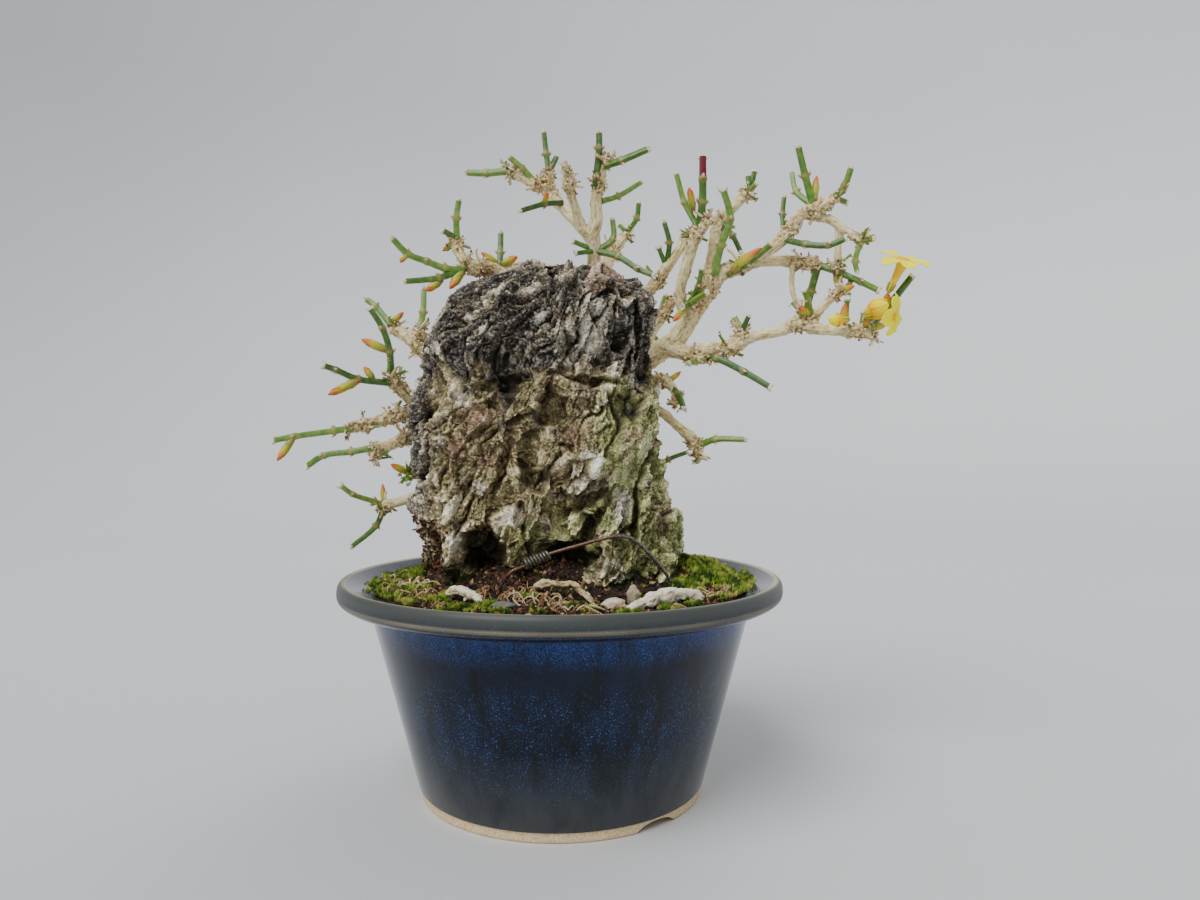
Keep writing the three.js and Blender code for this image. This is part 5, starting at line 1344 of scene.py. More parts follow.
@dataclass
class Crumbs:
    """Loose grains of soil and bark that lie on the packed soil and cling under the rock's left side."""

    ground: Ground
    count: int = 6800
    clinging: int = 800        # grains on the rock's lower left
    seed: int = 11
    reach: float = 61.5        # mm from the axis
    clods: tuple[Row, ...] = (
        (-25, -43, 3.4), (-29, -46, 2.2), (46, -47, 3.0), (-38, -36, 2.4), (50, -43, 2.2),
    )
    clod_grains: int = 34

    def build(self, rock: Piece) -> None:
        """Scatter one small rough grain many times, over the soil and up the rock's lower left."""
        piece = primitive(bpy.ops.mesh.primitive_ico_sphere_add, subdivisions=1, radius=1)
        rough = points_of(piece)
        rough *= np.array([[0.75 + 0.5 * noise.cell(Vector(p) * 3.1)] for p in rough])
        set_points(piece, rough)
        grain = taken(piece)
        draw = random.Random(self.seed)
        places, tones = [], []
        while len(places) < self.count:
            x, y = draw.uniform(-62, 62), draw.uniform(-62, 62)
            if math.hypot(x, y) > self.reach or moss_depth(x, y) > 0.9:
                continue
            size = 0.4 + 1.3 * draw.random() ** 2.4
            z = self.ground.height(x, y) + 0.3 * size
            places.append(self.tumbled(draw, (x, y, z), size))
            tones.append(draw.random() ** 1.5)
        for x, y, size in self.clods:
            for _ in range(self.clod_grains):
                at = [c + draw.gauss(0, size * 0.38) for c in (x, y, self.ground.height(x, y) + size * 0.3)]
                places.append(self.tumbled(draw, at, draw.uniform(0.5, 1.1)))
                tones.append(draw.uniform(0.45, 0.75))
        tree = surface_tree(rock)
        for _ in range(self.clinging):
            turn = math.radians(draw.uniform(175, 275))
            inside = Vector((draw.gauss(-38, 3), -6, 70 + 24 * draw.random() ** 1.4))
            away = level_way(turn)
            spot = tree.ray_cast(inside + away * 60, -away)[0]
            if spot is None or spot.x > -33:
                continue
            places.append(self.tumbled(draw, spot + away * draw.uniform(0, 0.8), draw.uniform(0.4, 1.3)))
            tones.append(draw.uniform(0.2, 0.75))
        crumbs = stood_up("soil_crumbs", grain.copies(places, {"tone": tones}))
        dress(crumbs, (CRUMB,), (), 20)

    def tumbled(self, draw: random.Random, at: Sequence[float], size: float) -> Matrix:
        """Return the matrix of one grain, turned and stretched at random."""
        aim = (draw.uniform(-1, 1), draw.uniform(-1, 1), draw.uniform(-1, 1) + 0.01)
        return aimed(at, aim, (size, size * draw.uniform(0.6, 1), size * draw.uniform(0.6, 1.2)),
                     any_turn(draw))


@dataclass
class Moss:
    """The moss: one small leafy tuft set thousands of times on the pads, thick on the cushion."""

    ground: Ground
    gap: float = 0.72
    reach: float = 67.0        # mm from the axis, over the soil's edge and on to the lip's inner slope
    strays: float = 0.02       # share of the bare places that still hold a tuft
    leaves: int = 5
    lean: float = 0.22         # how far a tuft leans, as a slope
    dry_share: float = 0.07    # of the tufts
    seed: int = 5

    def tuft(self) -> Shape:
        """Make a tuft of pointed leaves that lean outwards, 1 high."""
        points, faces = [], []
        for i in range(self.leaves):
            turn = 2 * math.pi * i / self.leaves
            out = level_way(turn)
            side = Vector((-out.y, out.x, 0)) * 0.17
            reach = 0.34 + 0.1 * (i % 2)
            start = len(points)
            middle = out * reach * 0.6 + Vector((0, 0, 0.5))
            tip = out * reach + Vector((0, 0, 1 - 0.1 * (i % 2)))
            keel = middle + Vector((0, 0, -0.1)) + out * 0.12
            points += [out * 0.05, middle + side, middle - side, tip, keel]
            faces += [(start, start + 2, start + 4), (start, start + 4, start + 1),
                      (start + 1, start + 4, start + 3), (start + 4, start + 2, start + 3),
                      (start, start + 1, start + 3, start + 2)]
        points = np.array([tuple(p) for p in points])
        return Shape(points, faces, [0] * len(faces), {"share": points[:, 2]})

    def build(self) -> None:
        """Set the tufts on a jittered grid wherever a pad is thick enough."""
        draw = random.Random(self.seed)
        places, tones = [], []
        steps = int(self.reach / self.gap)
        for i in range(-steps, steps + 1):
            for j in range(-steps, steps + 1):
                x = (i + draw.uniform(-0.5, 0.5)) * self.gap
                y = (j + draw.uniform(-0.5, 0.5)) * self.gap
                deep = moss_depth(x, y)
                chance, lean = draw.random(), draw.gauss(0, self.lean)
                size, dry = draw.uniform(0.75, 1.3), draw.random()
                bare = deep < 0.35 and chance > self.strays * step(62, 58, math.hypot(x, y))
                if math.hypot(x, y) > self.reach or bare or chance > 0.35 + deep:
                    continue
                tall = (1.0 + 0.4 * deep) * size ** 1.5
                z = self.ground.top(x, y) + deep * 0.5
                aim = (lean, draw.gauss(0, self.lean), 1)
                places.append(aimed((x, y, z), aim, (1.1 * size, 1.1 * size, tall), any_turn(draw)))
                patch = 0.42 + 0.8 * rolling(x, y, 4, 9.0)
                patch += 0.45 if dry > 1 - self.dry_share else 0
                tones.append(min(max(patch + draw.gauss(0, 0.1), 0), 1))
        carpet = stood_up("moss_carpet", self.tuft().copies(places, {"tone": tones}))
        dress(carpet, (MOSS,), (), 30)


# Where dry root fibres lie: x, y, spread and how many
FIBRE_SPOTS: list[Row] = [
    (-52, -20, 7, 52), (-57, -8, 4, 26), (-42, -33, 6, 34), (55, -25, 5, 28), (50, -33, 5, 20),
    (-2, -45, 6, 26), (9, -52, 6, 24), (20, -55, 4, 8), (-13, -41, 4, 12), (-24, -37, 4, 14),
    (-8, -33, 5, 8), (38, -50, 4, 6), (-35, -50, 5, 8), (58, -12, 3, 8), (10, 52, 14, 14),
    (-30, 46, 10, 12), (50, 22, 6, 8),
]


@dataclass
class DryFibres:
    """Dead straw-coloured roots that arch out of the soil and back into it."""

    ground: Ground
    seed: int = 23

    def build(self) -> None:
        """Lay each fibre as an arch with a bend to one side."""
        draw = random.Random(self.seed)
        shapes = []
        outline = round_outline(5)
        for x, y, spread, count in FIBRE_SPOTS:
            for _ in range(int(count)):
                at = (x + draw.gauss(0, spread * 0.5), y + draw.gauss(0, spread * 0.5))
                turn, long = draw.uniform(0, 2 * math.pi), draw.uniform(3.5, 9)
                high, bow = draw.uniform(0.6, 3.4), draw.gauss(0, 0.28) * long
                rows = []
                for t in (0, 0.25, 0.5, 0.75, 1):
                    across = (t - 0.5) * long
                    px = at[0] + across * math.cos(turn) - bow * math.sin(math.pi * t) * math.sin(turn)
                    py = at[1] + across * math.sin(turn) + bow * math.sin(math.pi * t) * math.cos(turn)
                    limit = min(1, 61 / max(math.hypot(px, py), 1))
                    px, py = px * limit, py * limit
                    lift = high * math.sin(math.pi * t) - 0.5 + draw.uniform(-0.2, 0.2)
                    rows.append((px, py, self.ground.height(px, py) + 0.3 * moss_depth(px, py) + lift))
                path = laid_path(rows, 0.9)
                thick = draw.uniform(0.16, 0.36)
                fibre = swept(path, thick * np.linspace(1, 0.6, len(path)), outline)
                shapes.append(fibre.toned(draw.random()))
        fibres = stood_up("dry_root_fibres", joined(shapes))
        dress(fibres, (STRAW,), (), 60)


# The rock

# Height, left, right, front and back of the rock, used to lead the roots that grip it
ROCK_LEVELS: list[Row] = [
    (54, -38, 34, -17, 23), (70, -45, 42, -21, 27), (78, -50, 42, -24, 28), (90, -50, 39, -25, 28),
    (100, -50, 34, -25, 28), (115, -51, 32, -25, 27), (130, -50, 31, -25, 26),
]

# White scabs on the rock: x, z and radius
PALE_SPOTS: list[Row] = [
    (12, 163, 4), (10.5, 152, 5.4), (2, 152.5, 4), (-30, 159, 2.2), (-24, 155, 2), (21, 99, 5),
    (10, 113, 5), (5, 110, 4), (-33, 88, 3.6), (-25.5, 104, 3), (-30, 106, 3), (-38, 119, 2.5),
    (-44, 117, 2), (-14, 95, 3), (19, 78, 4), (-19, 149, 2), (-6, 160, 2.4), (24, 139, 3), (-32, 133, 3),
    (3, 146, 3.4), (-41, 150, 2),
]

# Hollows in its front and, where the last number is below 0, swellings: x, z, half width, half height,
# turn in degrees and depth
HOLLOWS: list[Row] = [
    (-26, 83.5, 6.4, 7.5, -8, 9), (-16, 75.5, 9, 3.6, 0, 6), (2.5, 79.5, 8.8, 6.2, 8, 8),
    (-42, 80, 5, 9, -10, 5), (-8, 107, 4.4, 6, 35, 5.5), (26.5, 152, 1.5, 14, 6, 4.5),
    (-17, 140, 11, 2.2, 12, 3.2), (-3, 130, 4.2, 5.5, -25, 3.6), (8, 140, 11, 2, -6, 4),
    (25, 91, 1.3, 8, 0, 4), (8, 99, 9, 2, 30, 4), (-17, 112, 1.6, 12, -20, 3), (-30, 104, 1.5, 8, -25, 2.5),
    (-44, 128, 2.5, 7, 0, 2.5), (9, 108, 8.5, 3.0, 32, -3), (-35.4, 88, 2.8, 10, -4, -3.4),
    (-15.5, 88, 4.2, 9, -12, -3.2), (17, 79, 6.2, 9, 0, -3), (11, 152, 3.4, 5, 10, -1.8),
    (11.5, 163, 3, 2.8, 0, -1.6), (-25, 124, 9, 8, 0, -1.2), (22, 132, 3, 9, 6, -1.8),
]

# Warm pinkish stone: x, z and radius
PINK_SPOTS: list[Row] = [
    (-26, 126, 8), (-33, 117, 6), (4, 121, 5), (16, 175, 10), (-24, 114, 5), (12, 168, 5),
]


@dataclass
class Rock:
    """The crag: the CAD rock remeshed finely, broken into leaning plates, and marked with its zones,
    with painted shade in its clefts and dips and painted highlight on its crests.
    """

    voxel: float = 0.6
    slant: float = 24          # degrees that the strata lean to the right
    cap_slant: float = 34      # degrees more on the left of the cap
    lump: float = 1.5          # mm, how high the broad lumps stand
    slab: float = 2.0          # mm between the faces of large, middling and small broken pieces
    chip: float = 0.8
    flake: float = 0.45
    cleft: float = 3.0         # mm, how deep the clefts, cracks and nicks cut
    crack: float = 0.5
    nick: float = 0.25
    grit: float = 0.55

    def build(self) -> Piece:
        """Copy the CAD rock, refine it, carve it and mark it."""
        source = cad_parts["rock"]
        piece = in_scene("craggy_rock", source.data.copy())
        piece.data.materials.clear()
        for attribute in [a for a in piece.data.attributes if a.name.startswith("UV")]:
            piece.data.attributes.remove(attribute)
        edit(piece, (bpy.ops.mesh.remove_doubles, {"threshold": 1e-6}))
        melt(piece, self.voxel, 0.6, 6)
        points, normals = own_points(piece), normals_of(piece)
        moves = np.array([self.carved(Vector(p), Vector(n)) for p, n in zip(points, normals)])
        carved = points + moves[:, :3]
        set_points(piece, placed(carved))
        zones = np.array([self.zones(Vector(p), cleft) for p, cleft in zip(carved, moves[:, 3])])
        names = ("crag_char", "crag_lichen", "crag_pale", "crag_pink", "crag_moss")
        values = {name: zones[:, i] for i, name in enumerate(names)}
        near, far = relief_of(piece, 2), relief_of(piece, 16)
        # Painted shade in the dips, clefts and hollows, and painted highlight on the crests, which also carry
        # the pale weathered edges
        painted_dip_shade = np.clip(-near / 0.4, 0, 1) * 0.25 + np.clip(-far / 2.0, 0, 1) * 0.5
        set_values(piece, {
            **values, "crag_tone": moves[:, 4], "crag_cleft": np.clip(np.maximum(moves[:, 3], painted_dip_shade), 0, 1),
            "crag_crest": np.clip(near / 0.3, 0, 1) * 0.55 + np.clip(far / 1.2, 0, 1) * 0.45,
        })
        return dress(piece, (CRAG,), ("rock",), 50)

    def leaning(self, p: Vector) -> Vector:
        """Return a place in the strata's own directions: across, through and along them."""
        lean = math.radians(self.slant + self.cap_slant * step(138, 152, p.z) * step(12, -8, p.x))
        x, z = p.x + 16, p.z - 152
        return Vector((x * math.cos(lean) - z * math.sin(lean), p.y, x * math.sin(lean) + z * math.cos(lean)))

    def crease(self, at: Vector, size: Point, sharp: float) -> float:
        """Return 1 in the bottom of a narrow crease and 0 away from it.

        Args:
            at: A place in the strata's directions.
            size: How far apart the creases are across, through and along the strata, in mm.
            sharp: How narrow they are.
        """
        return max(1 - abs(noise.noise(squeezed(at, size))) * sharp, 0) ** 1.5

    def carved(self, p: Vector, n: Vector) -> Row:
        """Return how a place moves, in x, y and z, how deep in a cleft it ends up, which the finish paints as
        shade, and its chip's tone.
        """
        at = self.leaning(p)
        at = at + 2.4 * noise.noise_vector(at / 10) + 0.6 * noise.noise_vector(at / 2.6)
        rough = step(-0.4, 0.3, noise.noise(squeezed(p, (16, 16, 20))) + 0.2)
        broad = noise.fractal(squeezed(at, (9, 10, 16)), 0.9, 2.1, 2)
        cleft = self.crease(at, (12, 14, 28), 7.5) * step(-0.2, 0.3, noise.noise(p / 13) + 0.1)
        slab, tone, _ = self.facet(at, (8, 10, 22))
        chip, shade, crack = self.facet(at, (3.2, 4.2, 10))
        flake, _, nick = self.facet(at, (1.5, 1.8, 4))
        grit = noise.fractal(p / 0.95, 0.7, 2.0, 3)
        keep = (0.35 + 0.65 * step(62, 80, p.z)) * (1 - 0.45 * step(166, 174, p.z))
        rise = self.lump * broad + self.slab * slab - self.cleft * cleft
        broken = self.chip * chip + self.flake * flake - self.crack * crack - self.nick * nick
        rise += (0.3 + 0.8 * rough) * broken
        rise += self.grit * grit * (0.8 + 0.6 * rough)
        hollow = self.hollow(p)
        # How deep in a cleft, crack or hollow a place lies; the finish paints shade by it
        deep = max(0.95 * cleft, max(0.3 * crack, 0.12 * nick) * (0.3 + rough), min(hollow / 8, 0.9))
        move = n * rise * keep + Vector((0, hollow, 0))
        return (move.x, move.y, move.z, deep, 0.6 * shade + 0.4 * tone)

    def facet(self, at: Vector, size: Point) -> tuple[float, float, float]:
        """Return how high a broken face stands at a place, its tone, and 1 in the crack round it.

        Each face is a cell with a slope of its own.

        Args:
            at: A place in the strata's directions.
            size: How large the cells are across, through and along the strata, in mm.
        """
        spot = squeezed(at, size)
        reach, homes = noise.voronoi(spot)
        home = homes[0]
        slope = noise.cell_vector(home * 57) - Vector((0.5, 0.5, 0.5))
        tone = noise.cell(home * 91)
        return (spot - home).dot(slope) * 2 + tone - 0.5, tone, step(0.13, 0.0, reach[1] - reach[0])

    def hollow(self, p: Vector) -> float:
        """Return how far the front is pressed in at a place, or how far it swells if less than 0."""
        if p.y > -6:
            return 0.0
        facing = step(-6, -16, p.y)
        ragged = 0.3 * noise.fractal(Vector((p.x / 4.5, 4.0, p.z / 4.5)), 0.7, 2.3, 3)
        depth = 0.0
        for x, z, across, high, turn, deep in HOLLOWS:
            cos, sin = math.cos(math.radians(turn)), math.sin(math.radians(turn))
            u, v = (p.x - x) * cos + (p.z - z) * sin, (p.z - z) * cos - (p.x - x) * sin
            depth += deep * step(1.25, 0.7, math.hypot(u / across, v / high) + ragged)
        return depth * facing

    def zones(self, p: Vector, cleft: float) -> Row:
        """Return how charred, lichened, pale, pink and mossy a place is, each from 0 to 1."""
        ragged = noise.fractal(squeezed(p, (9, 12, 13)), 0.8, 2.1, 4)
        char = step(135, 148, p.z + 12 * ragged)
        char = max(char, step(-38, -47, p.x + 5 * ragged) * step(84, 102, p.z))
        char = max(char, bell((p.x - 27) / 3.2) * step(126, 140, p.z + 6 * ragged))
        # A darker patch in the cap's colours below the cap, about its middle
        char = max(char, 0.8 * step(0.25, 0.7, ragged) * step(112, 135, p.z) * step(-14, 2, p.x))
        sooty = noise.fractal(Vector((p.x / 7, p.y / 9, p.z / 11 + 40)), 0.7, 2.2, 4)
        char = max(char, 0.65 * step(0.16, 0.55, sooty) * step(72, 84, p.z))
        right = step(4, 24, p.x + 8 * ragged + 0.18 * (130 - p.z))
        low = 0.75 * step(112, 90, p.z + 8 * ragged) * step(-34, -10, p.x)
        lichen = max(right, low) * (1 - 0.75 * char) * step(-0.5, 0.1, ragged + 0.25)
        pale = max(bell(math.hypot(p.x - x, (p.z - z) * 0.8) / r) for x, z, r in PALE_SPOTS)
        pale = pale if p.y < 6 else 0.7 * step(0.45, 0.8, noise.noise(squeezed(p, (5, 5, 6))))
        fleck = noise.fractal(squeezed(p, (2.2, 2.2, 2.6)), 0.6, 2.2, 3) - 0.35 * cleft
        fleck = 0.75 * step(0.25, 0.55, fleck) * char
        pink = max(bell(math.hypot(p.x - x, p.z - z) / r) for x, z, r in PINK_SPOTS)
        damp = step(84, 76, p.z + 4 * ragged) * step(0.1, 0.5, ragged + 0.4) * 0.9
        return (char, lichen, max(0.9 * pale * (1 - cleft), fleck), 0.8 * pink * (1 - cleft), damp)


# The wood

@dataclass
class Wood:
    """Trunk, limbs and gripping roots: tubes along their paths, melted into one skin and given bark."""

    voxel: float = 0.62
    spacing: float = 1.2
    slim: float = 0.88         # leaves room for the bark that is raised on the limbs
    crack_depth: float = 0.25
    shag_depth: float = 0.95
    spurs: int = 5             # short spurs on each knuckle
    green_share: float = 0.45  # of the spurs
    grain_gap: float = 17      # mm between the grain of one limb and the next
    squareness: float = 0.77   # of the rock's outline; 1 is an ellipse
    seed: int = 31

    def grip_paths(self, rock: Piece) -> list[list[Row]]:
        """Lead each gripping root over the rock that it holds."""
        tree = surface_tree(rock)
        paths = []
        for root in GRIPPING_ROOTS:
            rows = [self.inside_trunk(root[0][1] + 7, root[0][2] * 0.75)]
            for degrees, height, radius in root:
                base = self.rock_base(math.radians(degrees), height)
                near = tree.find_nearest(base)[0]
                out = Vector((base.x + 6, base.y, 0)).normalized() * radius * 0.8
                rows.append((near.x + out.x, near.y + out.y, near.z, radius))
            paths.append(rows)
        return paths

    def inside_trunk(self, height: float, radius: float) -> Row:
        """Return a row for a path that starts on the trunk's axis at a height."""
        levels = np.array(TRUNK)
        x, y = (float(np.interp(height, levels[:, 2], levels[:, i])) for i in (0, 1))
        return (x, y, height, radius)

    def flare_paths(self) -> list[list[Row]]:
        """Spread short roots from the trunk's foot down into the soil."""
        paths = []
        for degrees, reach in ROOT_FLARE:
            out = level_way(math.radians(degrees))
            rows = [self.inside_trunk(88, 3.0)]
            for share, lift, radius in ((0.42, 4.5, 3.8), (0.72, 1.0, 2.8), (1.0, -2.0, 1.4)):
                at = Vector(rows[0][:3]) + out * reach * share
                rows.append((at.x, at.y, GROUND.height(at.x, at.y) + lift, radius))
            paths.append(rows)
        return paths

    def rock_base(self, angle: float, height: float) -> Vector:
        """Return the place on the rock's plain outline at an angle and a height."""
        row = 0
        while row < len(ROCK_LEVELS) - 2 and height > ROCK_LEVELS[row + 1][0]:
            row += 1
        low, high = np.array(ROCK_LEVELS[row]), np.array(ROCK_LEVELS[row + 1])
        z, left, right, front, back = low + (high - low) * (height - low[0]) / (high[0] - low[0])
        across, deep = (math.copysign(abs(part) ** self.squareness, part) for part in level_way(angle)[:2])
        return Vector(((left + right) / 2 + (right - left) / 2 * across,
                       (front + back) / 2 + (back - front) / 2 * deep, z))

    def build(self, rock: Piece) -> None:
        """Join the tubes, remesh them, raise the bark and store its grain."""
        paths = [TRUNK, *LIMBS, *self.grip_paths(rock), *self.flare_paths()]
        laid = [laid_path(path, self.spacing) for path in paths]
        outline = round_outline(10)
        shapes = [swept(rows[:, :3], np.maximum(rows[:, 3] * self.slim, 0.8), outline) for rows in laid]
        piece = stood_up("jasmine_wood_bark", joined(shapes))
        melt(piece, self.voxel, 0.5, 2)
        points, normals = own_points(piece), normals_of(piece)
        grain, radius = self.grain(points, laid)
        knuckle = self.knuckles(points, paths)
        rise = np.array([self.bark(Vector(p), Vector(g), k, r)
                         for p, g, k, r in zip(points, grain, knuckle, radius)])
        set_points(piece, placed(points + normals * rise[:, None]))
        damp = np.clip((92 - points[:, 2]) / 16, 0, 0.7)
        # Painted shade: the bark is darkened in its dips
        painted_dip_shade = np.clip(-relief_of(piece, 3) / 0.3 - 0.1, 0, 0.8)
        set_values(piece, {"bark_grain": grain, "bark_knuckle": knuckle, "bark_damp": damp, "bark_dip": painted_dip_shade})
        dress(piece, (BARK,), ("jasmine_wood",), 60)
        self.add_scars(paths)

    def grain(self, points: np.ndarray, laid: list[np.ndarray]) -> tuple[np.ndarray, np.ndarray]:
        """Return each point's place round and along its limb, in mm, and that limb's radius there."""
        parts = [frames_along(rows[:, :3]) for rows in laid]
        axes, crosses = (np.vstack([part[i] for part in parts]) for i in (0, 1))
        gone, offset = [], 0.0
        for rows in laid:
            lengths = gone_along(rows[:, :3])
            gone.append(offset + lengths)
            offset += lengths[-1] + self.grain_gap
        centres, radii = np.vstack(laid)[:, :3], np.vstack(laid)[:, 3]
        tree = point_tree(centres)
        nearest = [tree.find(Vector(p))[1] for p in points]
        away = points - centres[nearest]
        axis, side = axes[nearest], crosses[nearest]
        up = np.cross(axis, side)
        across, over, along = (np.einsum("ij,ij->i", away, way) for way in (side, up, axis))
        grain = np.stack([across, over, np.concatenate(gone)[nearest] + along], axis=1)
        return grain, radii[nearest]

    def knuckle_rows(self, paths: list[list[Row]]) -> list[Row]:
        """Return the points where a limb swells and where it ends."""
        rows = []
        for path in paths[1:len(LIMBS) + 1]:
            for i in range(1, len(path)):
                after = path[i + 1][3] if i + 1 < len(path) else 0
                if path[i][3] >= path[i - 1][3] and path[i][3] > after or i == len(path) - 1:
                    rows.append(path[i])
        return rows

    def knuckles(self, points: np.ndarray, paths: list[list[Row]]) -> np.ndarray:
        """Return how much each point belongs to a knuckle."""
        rows = self.knuckle_rows(paths)
        tree = point_tree(rows)
        found = [tree.find(Vector(p)) for p in points]
        return np.array([bell(away / (1.9 * rows[i][3])) for _, i, away in found])

    def bark(self, p: Vector, grain: Vector, knuckle: float, radius: float) -> float:
        """Return how far the bark rises at a point."""
        crack = noise.ridged_multi_fractal(squeezed(grain, (1.1, 1.1, 4.5)), 0.9, 2.1, 3, 1.0, 2.0) - 1.0
        lump = noise.fractal(p / (2.5 + radius * 0.4), 0.9, 2.0, 3)
        reach, _ = noise.voronoi(p / 1.9 + 0.4 * noise.noise_vector(p / 1.2))
        shag = 0.5 - step(0.05, 0.4, reach[1] - reach[0])
        size = min(radius / 3, 2.4)
        shaggy = knuckle * self.shag_depth * (shag - 0.35 * lump)
        return size * (self.crack_depth * crack + 0.25 * lump) - shaggy

    def add_scars(self, paths: list[list[Row]]) -> None:
        """Stud the knuckles with dry scales and with short spurs, some of them still green."""
        draw = random.Random(self.seed)
        scale, places, shapes = bud_scale(), [], []
        outline = round_outline(6)
        for x, y, z, radius in self.knuckle_rows(paths):
            for _ in range(int(16 + 8 * radius)):
                out = jolt(draw, 1).normalized()
                at = Vector((x, y, z)) + out * radius * draw.uniform(0.55, 0.85)
                at += jolt(draw, 0.5)
                aim = out + jolt(draw, 0.5)
                wide = draw.uniform(0.6, 1.4)
                places.append(aimed(at, aim, (wide, wide * 0.6, draw.uniform(0.9, 2.0)), any_turn(draw)))
            for _ in range(self.spurs):
                out = jolt(draw, 1).normalized()
                bend = Vector((draw.gauss(0, 0.3), draw.gauss(0, 0.3), 0.3))
                foot = Vector((x, y, z)) + out * radius * 0.6
                tip = foot + (out + bend) * draw.uniform(1.8, 4.2)
                middle = (foot + tip) / 2 + bend * 0.3
                rows = laid_path([tuple(foot), tuple(middle), tuple(tip)], 0.8)
                green = draw.random() < self.green_share
                thick = draw.uniform(0.4, 0.75)
                spur = swept(rows, np.linspace(thick, thick * 0.8, len(rows)), outline, int(green), 0)
                shapes.append(spur.toned(draw.uniform(0.4, 0.9)))
                for _ in range(2):
                    side = jolt(draw, 0.5)
                    size = (thick * 1.5, thick, draw.uniform(1, 1.7))
                    places.append(aimed(tip - out * 0.7 + side * 0.4, out + side, size))
        tones = [draw.random() for _ in places]
        piece = stood_up("knuckle_scars", joined([scale.copies(places, {"tone": tones}), *shapes]))
        dress(piece, (SCAR, STEM), (), 50)


def bud_scale(slot: int = 0) -> Shape:
    """Make one small pointed scale with this slot, 1 high and about 1 wide, fuller near its foot."""
    piece = primitive(bpy.ops.mesh.primitive_uv_sphere_add, segments=6, ring_count=5, radius=0.5)
    points = points_of(piece)
    share = points[:, 2] + 0.5
    full = np.interp(share, [0, 0.2, 0.5, 0.8, 1], [0.9, 1.1, 1.0, 0.75, 0.6])
    points = np.stack([points[:, 0] * full, points[:, 1] * full, share], axis=1)
    set_points(piece, points)
    return taken(piece, slot)


# The shoots

class Skin(Enum):
    """The finishes of a shoot, in the order of its material slots."""

    STEM = 0
    PITH = 1
    SCALE = 2
    BUD = 3
    CRIMSON = 4


